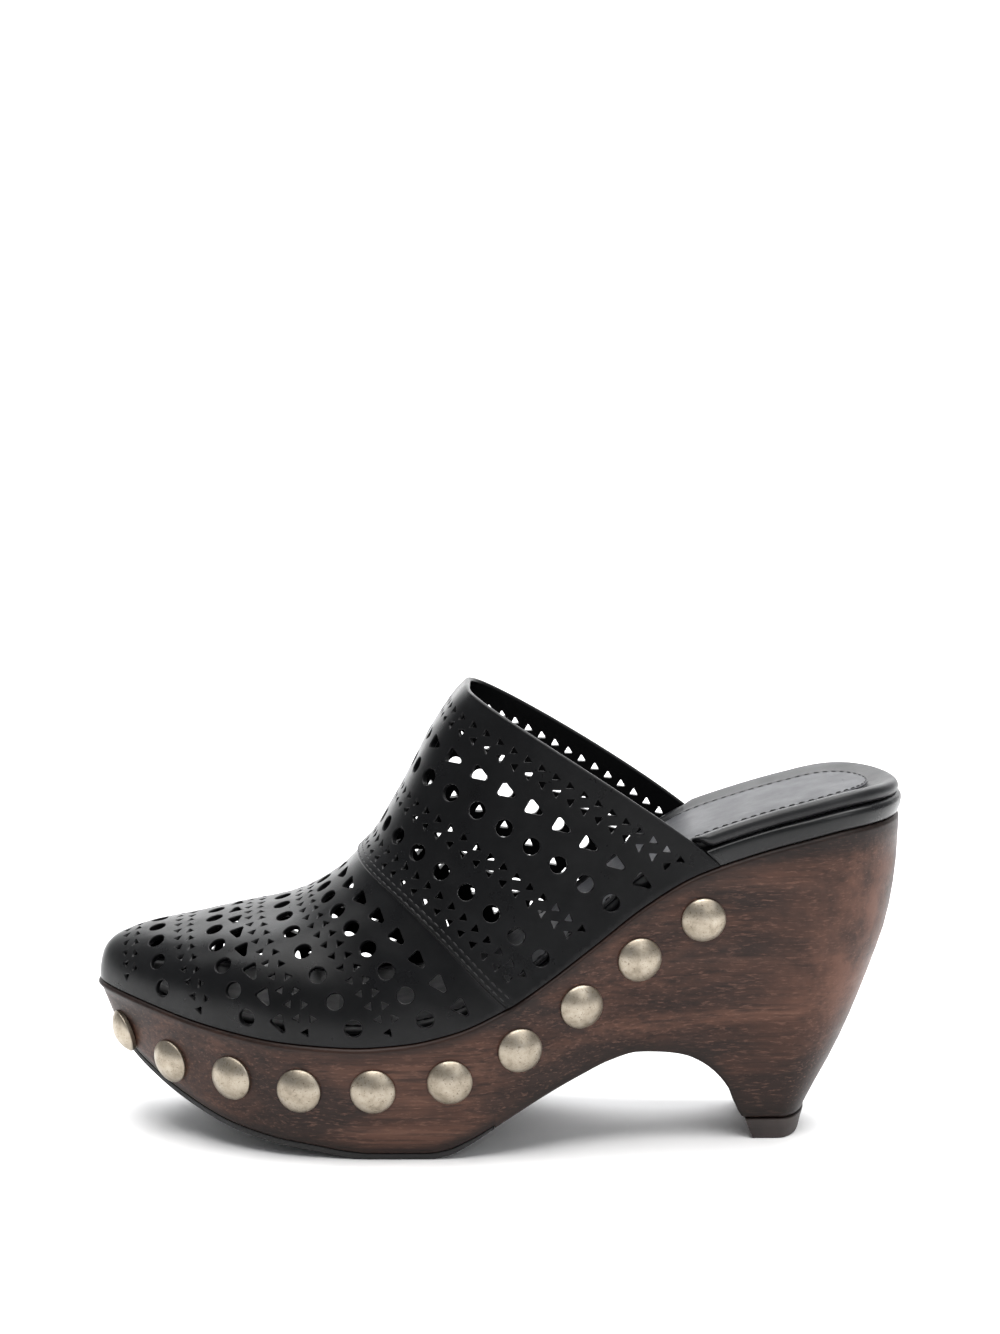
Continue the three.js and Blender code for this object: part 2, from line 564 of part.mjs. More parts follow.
function punch(ridge, share, shape) {
  const step = 1e-3;
  const normal = skinNormal(ridge, share);
  const across = skinPoint(ridge, Math.min(1, share + step)).sub(skinPoint(ridge, share - step)).normalize();
  const back = across.clone().cross(normal).normalize();
  const centre = skinPoint(ridge, share);
  const toFoot = share < 0.5 ? -1 : 1;
  const ring = (height) => HOLE_SHAPES[shape].map(([x, y]) => centre.clone()
    .addScaledVector(across, x * toFoot).addScaledVector(back, y).addScaledVector(normal, height));
  return loft([ring(-WALL - 2), ring(SEAM_STEP + 2)], true, true);
}

function upper() {
  let shell = upperShell();
  for (const { ridge, shape, count } of HOLE_ROWS) {
    const margin = HOLE_MARGIN / section(ridge).total;
    for (let k = 0; k < count; k += 1) {
      shell = shell.subtract(punch(ridge, lerp(margin, 1 - margin, k / (count - 1)), shape));
    }
  }
  return shell;
}

// Footbed: how high its rim stands over the wood, and how far out it lies
const rimTop = BAND_HEIGHT + 2 * GAP + RIM_HEIGHT;
const bedHeight = (at) => lerp(PAD_FORE, rimTop, ramp(at, PAD_RISE.from, PAD_RISE.to));
const bandStart = footPlace(COLLAR) + (3 * GAP) / LENGTH;
const bedOut = (at, height) => {
  const start = bandStart - (BAND_LEAN * height) / LENGTH;
  return ramp(at, start, start + RIM_WIDTH / LENGTH);
};
const FORE_INSET = FOOT_INSET + WALL + PAD_CLEAR;
const REAR_INSET = FOOT_INSET + BAND_THICK + GAP;

function footbed() {
  const stations = between(0, 1);
  const half = (side, at) => {
    const height = bedHeight(at);
    const wall = lerp(FORE_INSET, REAR_INSET, bedOut(at, 0));
    const rimIn = lerp(FORE_INSET, FOOT_INSET, bedOut(at, BAND_HEIGHT)) + RIM_WIDTH / 2;
    const drop = SEAT_DROP * ((height - PAD_FORE) / (rimTop - PAD_FORE));
    const rim = [-40, 20, 90, 140].map((angle) => {
      const turn = THREE.MathUtils.degToRad(angle);
      return [rimIn - (RIM_WIDTH / 2) * Math.cos(turn), height - (RIM_HEIGHT / 2) * (1 - Math.sin(turn))];
    });
    const profile = [
      [wall, GAP], [wall, height - RIM_HEIGHT - GAP], ...rim,
      [rimIn + RIM_WIDTH / 2 + 1, height - drop], [SOCK_INSET + 1, height - drop - 0.1],
    ];
    return profile.map(([inset, rise]) => edgePoint(side, at, inset, rise));
  };
  return loft(stations.map((at) => [...half("lateral", at).reverse(), ...half("medial", at)]));
}

const sockRise = (at) => bedHeight(at) - SEAT_DROP * ((bedHeight(at) - PAD_FORE) / (rimTop - PAD_FORE)) + GAP;
function sockPanel() {
  return loft(between(SOCK_START, 1).map((at) => {
    const [left, right] = sides.map((side) => [0, SOCK_THICK].map(
      (lift) => edgePoint(side, at, SOCK_INSET, sockRise(at) + lift)));
    return [left[1], left[0], right[0], right[1]];
  }), true, false);
}

function sideBand() {
  const path = between(bandStart, 1);
  const profile = [
    [FOOT_INSET, GAP], [FOOT_INSET - BAND_BULGE, BAND_HEIGHT / 2], [FOOT_INSET, BAND_HEIGHT + GAP],
    [FOOT_INSET + BAND_THICK, BAND_HEIGHT + GAP], [FOOT_INSET + BAND_THICK, GAP]];
  const fade = (at) => 1 - ramp(at, bandStart, bandStart + BAND_FADE / LENGTH);
  const leaning = (at, rise) => at - ((BAND_LEAN * rise) / LENGTH) * fade(at);
  const ring = (side, at) => profile.map(([inset, rise]) => edgePoint(side, leaning(at, rise), inset, rise));
  const rings = [
    ...path.map((at) => ring("lateral", at)), ...path.slice(0, -1).reverse().map((at) => ring("medial", at))];
  return loft(rings, true, true);
}

// A stud's dome on its short straight edge, seated against the wood's curved side
function stud(name, side, { along, down }) {
  const radius = STUD_DIAMETER / 2;
  const rise = STUD_HEIGHT - STUD_EDGE;
  const sphere = (radius * radius + rise * rise) / (2 * rise);
  const spread = Math.asin(radius / sphere);
  const dome = [1, 0.55, 0].map((share) => new THREE.Vector2(
    sphere * Math.sin(spread * share), STUD_HEIGHT - sphere + sphere * Math.cos(spread * share)));
  const profile = [new THREE.Vector2(0, 0), new THREE.Vector2(radius, 0), ...dome];
  const lathe = new THREE.LatheGeometry(profile, 8);
  lathe.rotateX(Math.PI / 2);
  const solid = solidFrom([...lathe.attributes.position.array], [...lathe.index.array]);
  const centre = solePoint(side, along, down);
  const [ds, dd] = [Math.min(along, radius / LENGTH), radius / centre.z / 2];
  const tangent = solePoint(side, along + ds, down).sub(solePoint(side, along - ds, down));
  const fall = solePoint(side, along, down + dd).sub(solePoint(side, along, down - dd));
  const normal = tangent.cross(fall).multiplyScalar(signOf(side)).normalize();
  const bulge = Math.max(0, ...[-1, 1].flatMap((a) => [-1, 0, 1].map(
    (b) => solePoint(side, along + a * ds, down + b * dd).sub(centre).dot(normal))));
  const mesh = meshOf(name, solid, brass);
  mesh.position.copy(centre).addScaledVector(normal, GAP + bulge);
  mesh.quaternion.setFromUnitVectors(vector(0, 0, 1), normal);
  return mesh;
}

const shoe = new THREE.Group();
shoe.add(
  meshOf("wood_sole", woodSole(), wood),
  meshOf("outsole", outsole(), rubber),
  meshOf("heel_lift", heelLift(), liftRubber),
  meshOf("upper", upper(), leather),
  meshOf("footbed", footbed(), lining),
  meshOf("side_band", sideBand(), leather),
  meshOf("sock_panel", sockPanel(), sockLeather),
);
for (const side of sides) {
  STUDS.forEach((place, k) => {
    shoe.add(stud(`stud_${side}_${String(k + 1).padStart(2, "0")}`, side, place));
  });
}
shoe.updateMatrixWorld(true);
const box = new THREE.Box3().setFromObject(shoe, true);
const middle = box.getCenter(vector(0, 0, 0));
shoe.position.set(-middle.x, -middle.y, -box.min.z);

export default shoe;
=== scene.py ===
"""Looks for a studded wooden clog mule, left foot: every piece is built here in the part's own frame.

The tables and forms are those of the part: X from the toe tip to the heel, Y to the inner side of the
foot, Z up, in millimetres. to_row() turns them into the row frame, in metres.
"""
import math

import bpy
import numpy as np
from mathutils.geometry import delaunay_2d_cdt
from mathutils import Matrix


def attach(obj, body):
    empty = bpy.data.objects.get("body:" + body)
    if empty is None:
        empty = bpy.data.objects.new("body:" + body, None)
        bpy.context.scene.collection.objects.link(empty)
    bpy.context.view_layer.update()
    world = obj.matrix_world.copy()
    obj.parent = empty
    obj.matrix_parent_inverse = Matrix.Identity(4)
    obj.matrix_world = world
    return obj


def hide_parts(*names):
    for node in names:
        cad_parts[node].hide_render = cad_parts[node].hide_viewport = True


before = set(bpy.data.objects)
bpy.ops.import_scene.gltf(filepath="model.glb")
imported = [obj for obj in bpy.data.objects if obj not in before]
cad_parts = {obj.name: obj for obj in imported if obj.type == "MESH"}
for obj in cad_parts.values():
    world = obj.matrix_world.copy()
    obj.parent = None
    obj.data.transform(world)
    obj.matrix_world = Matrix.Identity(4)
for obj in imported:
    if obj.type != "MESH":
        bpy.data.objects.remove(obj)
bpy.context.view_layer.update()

# Last and sole
LENGTH = 248.5
BALL_WIDTH = 88
HEEL_WIDTH = 59.5
TOE_OFFSET = 9
PLATFORM = 35
TOE_LIFT = 9
HEEL_HEIGHT = 99
TOE_SPRING = 26
ARCH_HEIGHT = 29.2
TREAD_LENGTH = 15.5
TREAD_WIDTH = 41
SEAT_ROUND = 30
TREAD_ROUND = 8
BREAST_LEAN = 2.5
SIDE_DRAFT = 0.08  # how far the sides come in, by their height
EDGE_ROUND = 1.6
OUTSOLE = 1.5
OUTSOLE_INSET = 0.8
OUTSOLE_THIN = 0.44  # place along the last where the tread begins to thin
OUTSOLE_END = 0.5
OUTSOLE_TAIL = 0.5  # share of its thickness at the end
BREAST = 0.858  # place of the heel's front on the edge
HEEL_LIFT = 6.2
GAP = 0.3

# Upper
INSTEP_HEIGHT = 50
COLLAR_HEIGHT = 97.2
WALL = 1.8
FOOT_INSET = 0.6
SEAM_STEP = 0.8
LAP = 11  # length over which the rear panel sinks to its own wall
LAP_REST = 0.3  # share of the seam's step that stays there
ROUND_HOLE = 5.2
DROP_HOLE = 5.6
HOLE_MARGIN = 7
SMALL_HOLE = 2.6
SMALL_PITCH = 5
SMALL_MARGIN = 6
COLUMN_GAP = 1.95  # from the middle of a small row to its two columns
SEAM = 0.328
COLLAR = 0.461

# Footbed
PAD_FORE = 4.5
PAD_CLEAR = 1.5
PAD_RISE = (0.42, 0.74)
BAND_HEIGHT = 8.9
BAND_THICK = 1.5
BAND_BULGE = 1.3
BAND_LEAN = 0.78  # lean of its front end along the collar, length by height
BAND_FADE = 25  # length over which the lean fades out
RIM_HEIGHT = 1.8
RIM_WIDTH = 4
SEAT_DROP = 1.6
SOCK_INSET = 9.5
SOCK_START = 0.3

# Studs
STUD_DIAMETER = 13.6
STUD_HEIGHT = 3.3
STUD_EDGE = 0.5

# The middle of the part's box
MIDDLE = np.array([124.25, -1.980154, -0.0000767])

# place, outer and inner side, as shares of half the ball's width and, from HEEL_FROM on, the heel's
PLAN = np.array([
    [0, 2 * TOE_OFFSET / BALL_WIDTH, 2 * TOE_OFFSET / BALL_WIDTH], [0.021, -0.084, 0.443],
    [0.095, -0.49, 0.716], [0.179, -0.8, 0.875], [0.263, -0.985, 0.945], [0.355, -1.045, 0.955],
    [0.447, -1.045, 0.898], [0.531, -0.977, 0.818], [0.604, -1.26, 1.08], [0.674, -1.12, 1.02],
    [0.751, -1.04, 1], [0.875, -1, 1], [1, -1, 1]])
HEEL_FROM = 0.6
# place, share of the toe's lift, share of the heel's rise
TOP_LINE = np.array([
    [0, 1, 0], [0.05, 0.82, 0], [0.14, 0.39, 0], [0.24, 0.09, 0], [0.33, 0, 0], [0.39, 0, 0.016],
    [0.45, 0, 0.069], [0.51, 0, 0.17], [0.56, 0, 0.288], [0.62, 0, 0.453], [0.68, 0, 0.627],
    [0.74, 0, 0.764], [0.8, 0, 0.848], [0.86, 0, 0.916], [0.93, 0, 0.978], [1, 0, 1]])
# place on the top edge, place on the tread's edge, share of the toe spring, share of the arch
SOLE_EDGE = [
    [0, 0.03, 1, 0], [0.006, 0.035, 0.93, 0], [0.022, 0.049, 0.83, 0], [0.048, 0.073, 0.68, 0],
    [0.085, 0.105, 0.52, 0], [0.13, 0.144, 0.36, 0], [0.178, 0.185, 0.235, 0], [0.231, 0.235, 0.14, 0],
    [0.282, 0.283, 0.08, 0], [0.323, 0.323, 0.022, 0], [0.35, 0.35, 0, 0], [0.385, 0.385, 0, 0],
    [0.42, 0.42, 0, 0], [0.443, 0.443, 0, 0.035], [0.47, 0.47, 0, 0.15], [0.511, 0.511, 0, 0.373],
    [0.556, 0.556, 0, 0.6], [0.6, 0.6, 0, 0.785], [0.64, 0.64, 0, 0.934], [0.674, 0.673, 0, 1],
    [0.708, 0.703, 0, 0.983], [0.74, 0.732, 0, 0.937], [0.77, 0.754, 0, 0.845], [0.796, 0.771, 0, 0.726],
    [0.82, 0.786, 0, 0.56], [0.84, 0.795, 0, 0.38]]
# share of the heel's height, how far its back lies in
HEEL_BACK = np.array([
    [0, 0.12], [0.05, 0.115], [0.13, 0.102], [0.23, 0.08], [0.33, 0.061], [0.45, 0.042], [0.56, 0.026],
    [0.66, 0.0135], [0.76, 0.006], [0.88, 0.0015], [1, 0]])
# place, share of the instep's height, share of the rise from there to the collar
RIDGE = np.array([
    [0, 0, 0], [0.004, 0.15, 0], [0.016, 0.245, 0], [0.047, 0.34, 0], [0.115, 0.475, 0],
    [0.182, 0.598, 0], [0.249, 0.71, 0], [0.3, 0.865, 0], [0.328, 1, 0], [0.346, 1, 0.108],
    [0.363, 1, 0.255], [0.3835, 1, 0.433], [0.4, 1, 0.594], [0.4165, 1, 0.745], [0.433, 1, 0.864],
    [0.45, 1, 0.963], [0.461, 1, 1]])
# place on the ridge, place of the foot, share of the toe's offset, fullness, bow of the outer and the inner
# side, height of the bow
SECTIONS = np.array([
    [0, 0, 1, 2.1, 0, 0, 1], [0.031, 0.033, 0.95, 2.15, 0, 0, 1], [0.0755, 0.098, 0.87, 2.2, 0, 0, 1],
    [0.11, 0.156, 0.8, 2.25, 0, 0, 1], [0.148, 0.214, 0.72, 2.3, 0, 0, 1.2],
    [0.198, 0.293, 0.6, 2.35, 0.004, 0.004, 1.4], [0.262, 0.397, 0.45, 2.4, 0.009, 0.009, 1.5],
    [0.308, 0.479, 0.35, 2.5, 0.014, 0.014, 1.6], [0.328, 0.515, 0.3, 2.6, 0.016, 0.016, 1.6],
    [0.3614, 0.577, 0.25, 2.9, 0.015, 0.016, 1.4], [0.4024, 0.668, 0.18, 3.4, 0.012, 0.016, 1.1],
    [0.437, 0.737, 0.12, 3.8, 0.011, 0.018, 0.9], [0.461, 0.77, 0.1, 4, 0.01, 0.018, 0.75]])
# Rows of large holes: section, shape, count from edge to edge
HOLE_ROWS = [
    (0.0755, "round", 8), (0.148, "round", 12), (0.174, "drop", 13), (0.232, "round", 14),
    (0.284, "round", 16), (0.308, "drop", 16), (0.3614, "round", 17), (0.4, "round", 19),
    (0.4175, "drop", 20)]
# Sections of the double rows of small three-cornered holes
SMALL_ROWS = [0.0435, 0.11, 0.198, 0.2605, 0.3455, 0.3805, 0.438]
# Places of the studs along the last and down the wood's side
STUDS = [
    (0.02, 0.66), (0.09, 0.6), (0.178, 0.46), (0.264, 0.43), (0.354, 0.38), (0.446, 0.38), (0.53, 0.43),
    (0.604, 0.41), (0.675, 0.34), (0.755, 0.25)]


def curve(x, y, warp=lambda k: k):
    """A smooth curve through points that never overshoots them."""
    x, y = warp(np.asarray(x, float)), np.asarray(y, float)
    slope = np.diff(y) / np.diff(x)
    a, b = slope[:-1], slope[1:]
    with np.errstate(divide="ignore", invalid="ignore"):
        middle = np.where(a * b <= 0, 0, 2 * a * b / (a + b))
    tangent = np.concatenate([slope[:1], middle, slope[-1:]])

    def value(at):
        k = warp(np.asarray(at, float))
        i = np.searchsorted(x[1:-1], k, side="left")
        h = x[i + 1] - x[i]
        t = np.clip((k - x[i]) / h, 0, 1)
        t2, t3 = t * t, t * t * t
        return ((2 * t3 - 3 * t2 + 1) * y[i] + (t3 - 2 * t2 + t) * h * tangent[i]
                + (3 * t2 - 2 * t3) * y[i + 1] + (t3 - t2) * h * tangent[i + 1])

    return value


def lerp(a, b, t):
    return a + (b - a) * t


def ramp(value, start, end):
    t = np.clip((np.asarray(value, float) - start) / (end - start), 0, 1)
    return t * t * (3 - 2 * t)


def unit(v):
    return v / np.maximum(np.linalg.norm(v, axis=-1, keepdims=True), 1e-12)


def together(*values):
    return np.broadcast_arrays(*[np.asarray(value, float) for value in values])


def to_row(points):
    return (np.asarray(points, float) - MIDDLE) / 1000


# Lines of the sole
half_width = np.where(PLAN[:, 0] < HEEL_FROM, BALL_WIDTH, HEEL_WIDTH) / 2
plan_lateral = curve(PLAN[:, 0], PLAN[:, 1] * half_width, np.sqrt)
plan_medial = curve(PLAN[:, 0], PLAN[:, 2] * half_width, np.sqrt)
top_height = curve(
    TOP_LINE[:, 0], PLATFORM + TOP_LINE[:, 1] * TOE_LIFT + TOP_LINE[:, 2] * (HEEL_HEIGHT - PLATFORM))
heel_back = curve(HEEL_BACK[:, 0], (1 - HEEL_BACK[:, 1]) * LENGTH)
ROUND_START = 1 - SEAT_ROUND / LENGTH
BLOCK_TOP = HEEL_LIFT + GAP
TREAD_FRONT = float(heel_back(0)) - TREAD_LENGTH
block_back = float(heel_back(BLOCK_TOP / HEEL_HEIGHT))
block_round = lerp(TREAD_ROUND, SEAT_ROUND, BLOCK_TOP / HEEL_HEIGHT)
EDGE_ROWS = np.array(SOLE_EDGE + [
    [BREAST, (TREAD_FRONT - BREAST_LEAN) / LENGTH, 0, BLOCK_TOP / ARCH_HEIGHT],
    [ROUND_START, (block_back - block_round) / LENGTH, 0, BLOCK_TOP / ARCH_HEIGHT]])
low_along = curve(EDGE_ROWS[:, 0], EDGE_ROWS[:, 1])
low_height = curve(EDGE_ROWS[:, 0], EDGE_ROWS[:, 2] * TOE_SPRING + EDGE_ROWS[:, 3] * ARCH_HEIGHT)
HEEL_LEAN = (HEEL_WIDTH - TREAD_WIDTH) / 2 / HEEL_HEIGHT


def sole_point(sign, at, down):
    """A point on the sole's side. sign is -1 on the outer side of the foot and 1 on the inner."""
    sign, at, down = together(sign, at, down)
    flat = np.minimum(at, ROUND_START)
    turn = np.maximum(0, at - ROUND_START) / (1 - ROUND_START) * (np.pi / 2)
    edge = np.where(sign < 0, plan_lateral(flat), plan_medial(flat))
    lean = lerp(SIDE_DRAFT, HEEL_LEAN, ramp(flat, 0.5, 0.8)) * np.minimum(1, np.abs(edge - TOE_OFFSET) / 20)
    z = lerp(top_height(lerp(flat, 1, np.sin(turn))), low_height(flat), down)
    y = edge - sign * down * (top_height(flat) - low_height(flat)) * lean
    x = lerp(flat, low_along(flat), down) * LENGTH
    return np.stack([lerp(x, heel_back(z / HEEL_HEIGHT), np.sin(turn)), y * np.cos(turn), z], -1)


def outward(sign, at, down):
    """Direction out of the outline, level with the floor."""
    sign, at, down = together(sign, at, down)
    step = 1e-4
    ahead, behind = np.minimum(1, at + step), np.maximum(0, at - step)
    along = unit((sole_point(sign, ahead, down) - sole_point(sign, behind, down)) * [1, 1, 0])
    out = np.stack([along[..., 1], -along[..., 0], np.zeros_like(at)], -1) * -sign[..., None]
    out[at <= 0] = [-1, 0, 0]
    out[at >= 1] = [1, 0, 0]
    return out


def edge_point(sign, at, inset, height):
    """A point set in from the top edge, at a height over the wood."""
    point = sole_point(sign, at, 0) - outward(sign, at, 0) * np.asarray(inset, float)[..., None]
    point[..., 2] = top_height(np.clip(point[..., 0] / LENGTH, 0, 1)) + height
    return point


def tread_point(sign, at, inset, height):
    """A point set in from the tread edge, at a height over it; it keeps to the edge's slope."""
    point = sole_point(sign, at, 1)
    move = -outward(sign, at, 1) * np.asarray(inset, float)[..., None]
    ahead, behind = np.minimum(ROUND_START, at + 1e-4), np.maximum(0, np.minimum(at, ROUND_START) - 1e-4)
    slope = (low_height(ahead) - low_height(behind)) / (low_along(ahead) - low_along(behind)) / LENGTH
    point = point + move
    point[..., 2] += move[..., 0] * slope + height
    return point


# Meshes
def face_normals(verts, faces):
    """Vertex normals weighted by face area, so that flat stretches stay flat beside small rounds."""
    normals = np.zeros_like(verts)
    for size, corners in ((3, (0, 1, 0, 2)), (4, (0, 2, 1, 3))):
        some = np.array([f for f in faces if len(f) == size], dtype=int).reshape(-1, size)
        a, b, c, d = (verts[some[:, k]] for k in corners)
        for k in range(size):
            np.add.at(normals, some[:, k], np.cross(b - a, d - c))
    return unit(normals)


def place(name, data):
    obj = bpy.data.objects.new(name, data)
    bpy.context.scene.collection.objects.link(obj)
    return obj


def make(name, verts, faces, material, nodes=(), normals=None, attributes=None):
    """An object in the row frame from points in the part's millimetres."""
    verts = to_row(verts)
    faces = [tuple(int(i) for i in f) for f in faces]
    if normals is None:
        normals = face_normals(verts, faces)
    mesh = bpy.data.meshes.new(name)
    mesh.from_pydata(verts.tolist(), [], faces)
    for key, values in (attributes or {}).items():
        layer = mesh.attributes.new(key, "FLOAT", "POINT")
        layer.data.foreach_set("value", np.asarray(values, dtype=np.float32))
    mesh.shade_smooth()
    mesh.normals_split_custom_set_from_vertices(normals.tolist())
    mesh.materials.append(material)
    obj = place(name, mesh)
    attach(obj, "root")
    if nodes:
        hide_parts(*nodes)
    return obj


def joined(rows, closed=True):
    """Four-cornered faces between rows of vertex numbers, each row joined to the next."""
    faces = []
    for first, second in zip(rows, rows[1:]):
        pairs = list(zip(first, second))
        ahead = pairs[1:] + pairs[:1] if closed else pairs[1:]
        faces += [[a, c, d, b] for (a, b), (c, d) in zip(pairs, ahead)]
    return faces


def rings(points, closed=True):
    """Vertices and faces of a loft through rings of equal size, collapsed faces left out."""
    flat = points.reshape(-1, 3)
    keys = {}
    remap = np.array([keys.setdefault(tuple(point), len(keys)) for point in np.round(flat, 4)])
    verts = np.zeros((len(keys), 3))
    verts[remap] = flat
    faces = []
    for quad in joined(remap.reshape(points.shape[:2]), closed):
        kept = [q for j, q in enumerate(quad) if q != quad[j - 1]]
        if len(kept) >= 3 and len(set(kept)) == len(kept):
            faces.append(kept)
    return verts, faces, remap


def both_sides(section):
    """Rings around the foot from section(sign), which gives the rows of points of one side."""
    outer, inner = (np.stack(section(sign), 1) for sign in (-1, 1))
    return np.concatenate([outer, inner[:, ::-1]], 1)


def outward_faces(verts, faces):
    """The faces turned so that they face out of the body that they enclose."""
    volume = 0
    for f in faces:
        for j in range(1, len(f) - 1):
            volume += np.dot(verts[f[0]], np.cross(verts[f[j]], verts[f[j + 1]]))
    return faces if volume > 0 else [f[::-1] for f in faces]


# Materials
def feed(tree, node, inputs):
    """Each input set to a number or colour, or joined to another node's output."""
    for key, value in inputs.items():
        if isinstance(value, bpy.types.NodeSocket):
            tree.links.new(value, node.inputs[key])
        else:
            node.inputs[key].default_value = value


def add(tree, kind, inputs, output, **settings):
    """A shader node with its settings and inputs; gives one of its outputs."""
    node = tree.nodes.new("ShaderNode" + kind)
    for key, value in settings.items():
        setattr(node, key, value)
    feed(tree, node, inputs)
    return node.outputs[output]


def new_material(name, color, roughness, metallic=0.0):
    material = bpy.data.materials.new(name)
    material.use_nodes = True
    tree = material.node_tree
    shader = tree.nodes["Principled BSDF"]
    feed(tree, shader, {"Base Color": (*color, 1), "Roughness": roughness, "Metallic": metallic})
    return material, tree, shader


def mapped(tree, scale=(1, 1, 1), tilt=0):
    """Places on the piece in metres, times scale, tilted about Y by degrees."""
    place = add(tree, "TexCoord", {}, "Object")
    turn = (0, math.radians(tilt), 0)
    return add(tree, "Mapping", {"Vector": place, "Scale": scale, "Rotation": turn}, "Vector")


def attribute(tree, name):
    return add(tree, "Attribute", {}, "Fac", attribute_name=name)


def noise(tree, vector, scale, detail=4.0, rough=0.5, distortion=0.0):
    inputs = {"Vector": vector, "Scale": scale, "Detail": detail, "Roughness": rough}
    return add(tree, "TexNoise", {**inputs, "Distortion": distortion}, "Fac")


def colors(tree, value, stops):
    """A colour for each value, blended between stops of value and colour."""
    node = tree.nodes.new("ShaderNodeValToRGB")
    elements = node.color_ramp.elements
    while len(elements) < len(stops):
        elements.new(0.5)
    for element, (at, color) in zip(elements, stops):
        element.position = at
        element.color = (*color, 1)
    tree.links.new(value, node.inputs["Fac"])
    return node.outputs["Color"]


def levels(tree, value, low, high, to_low, to_high):
    inputs = {"Value": value, "From Min": low, "From Max": high, "To Min": to_low, "To Max": to_high}
    return add(tree, "MapRange", inputs, "Result")


def cover_with(tree, base, cover, color):
    """The base colour, covered by another one as far as cover goes."""
    node = tree.nodes.new("ShaderNodeMix")
    node.data_type = "RGBA"
    sockets = {(socket.name, socket.type): socket for socket in node.inputs}
    tree.links.new(cover, sockets["Factor", "VALUE"])
    tree.links.new(base, sockets["A", "RGBA"])
    sockets["B", "RGBA"].default_value = (*color, 1)
    return [socket for socket in node.outputs if socket.type == "RGBA"][0]


def bump(tree, shader, heights):
    """heights: value, strength and distance in metres, laid over each other."""
    normal = {}
    for value, strength, distance in heights:
        inputs = {"Height": value, "Strength": strength, "Distance": distance, **normal}
        normal = {"Normal": add(tree, "Bump", inputs, "Normal")}
    feed(tree, shader, normal)


def leather_material(name, color, light, roughness, coat, specular, grain=1.0):
    """Smooth leather: fine pores, faint drawn wrinkles, uneven polish, and painted shade inside the shoe,
    where it is darker and reflects less.
    """
    material, tree, shader = new_material(name, color, roughness)
    plain = mapped(tree)
    cloud = noise(tree, plain, scale=45, detail=5, rough=0.55)
    polish = noise(tree, plain, scale=120, rough=0.6)
    wrinkles = noise(tree, plain, scale=70, detail=3)
    fine = noise(tree, plain, scale=2600, detail=3, rough=0.6)
    cells = add(tree, "TexVoronoi", {"Vector": plain, "Scale": 1500}, "Distance", feature="DISTANCE_TO_EDGE")
    pores = levels(tree, cells, 0.0, 0.25, 0.0, 1.0)
    inside = attribute(tree, "inside")
    base = colors(tree, cloud, [(0.3, color), (0.72, light)])
    # painted shade inside the shoe: as the inside attribute rises, the colour goes nearly black and the
    # reflection falls to a quarter
    feed(tree, shader, {
        "Base Color": cover_with(tree, base, levels(tree, inside, 0, 1, 0.0, 0.9), (0.003, 0.003, 0.0033)),
        "Specular IOR Level": levels(tree, inside, 0, 1, specular, specular * 0.25),
        "Roughness": levels(tree, polish, 0.3, 0.7, roughness - 0.06, roughness + 0.08),
        "Coat Weight": coat,
        "Coat Roughness": 0.3})
    bump(tree, shader, [
        (wrinkles, 0.08, 0.0016), (pores, 0.09 * grain, 0.0001), (fine, 0.07 * grain, 0.00008)])
    return material


def wood_material():
    """Walnut-stained light wood: grain along the foot, darker streaks, reddish flecks, satin varnish, a
    painted reflection on the heel's back and painted shade along the sides' edges.
    """
    material, tree, shader = new_material("wood_stained", (0.1, 0.055, 0.04), 0.4)
    grain = noise(tree, mapped(tree, (6, 80, 110), 5), 1.0, detail=7, rough=0.66, distortion=0.6)
    cloud = noise(tree, mapped(tree, (11, 26, 34), -8), 1.0, rough=0.6, distortion=0.4)
    thread = noise(tree, mapped(tree, (36, 800, 950), 4), 1.0, detail=5, rough=0.6)
    fleck = noise(tree, mapped(tree, (260, 1300, 1500), 6), 1.0, rough=0.65)
    patch = noise(tree, mapped(tree, (90, 90, 60)), 1.0, rough=0.6)
    patchy = levels(tree, patch, 0.36, 0.6, 0.15, 0.85)
    heel_sheen = add(tree, "Math", {0: attribute(tree, "pale"), 1: patchy}, "Value", operation="MULTIPLY")
    base = colors(tree, grain, [
        (0.30, (0.022, 0.009, 0.006)), (0.45, (0.053, 0.023, 0.015)), (0.58, (0.088, 0.039, 0.025)),
        (0.74, (0.132, 0.063, 0.042))])
    base = cover_with(tree, base, levels(tree, cloud, 0.43, 0.56, 0.0, 0.88), (0.0165, 0.009, 0.0075))
    base = cover_with(tree, base, levels(tree, thread, 0.48, 0.64, 0.0, 0.65), (0.011, 0.0055, 0.0042))
    base = cover_with(tree, base, levels(tree, fleck, 0.54, 0.68, 0.0, 0.42), (0.20, 0.10, 0.07))
    # the painted reflection on the heel's back, in a lighter red-brown
    base = cover_with(tree, base, heel_sheen, (0.150, 0.068, 0.045))
    # painted shade along the sides' top and bottom edges
    base = cover_with(tree, base, attribute(tree, "rim"), (0.010, 0.006, 0.005))
    feed(tree, shader, {
        "Base Color": base,
        "Roughness": levels(tree, grain, 0.3, 0.75, 0.52, 0.36),
        "Coat Weight": 0.05,
        "Coat Roughness": 0.34,
        "Specular IOR Level": 0.2})
    bump(tree, shader, [(grain, 0.16, 0.0006), (thread, 0.22, 0.00018)])
    return material


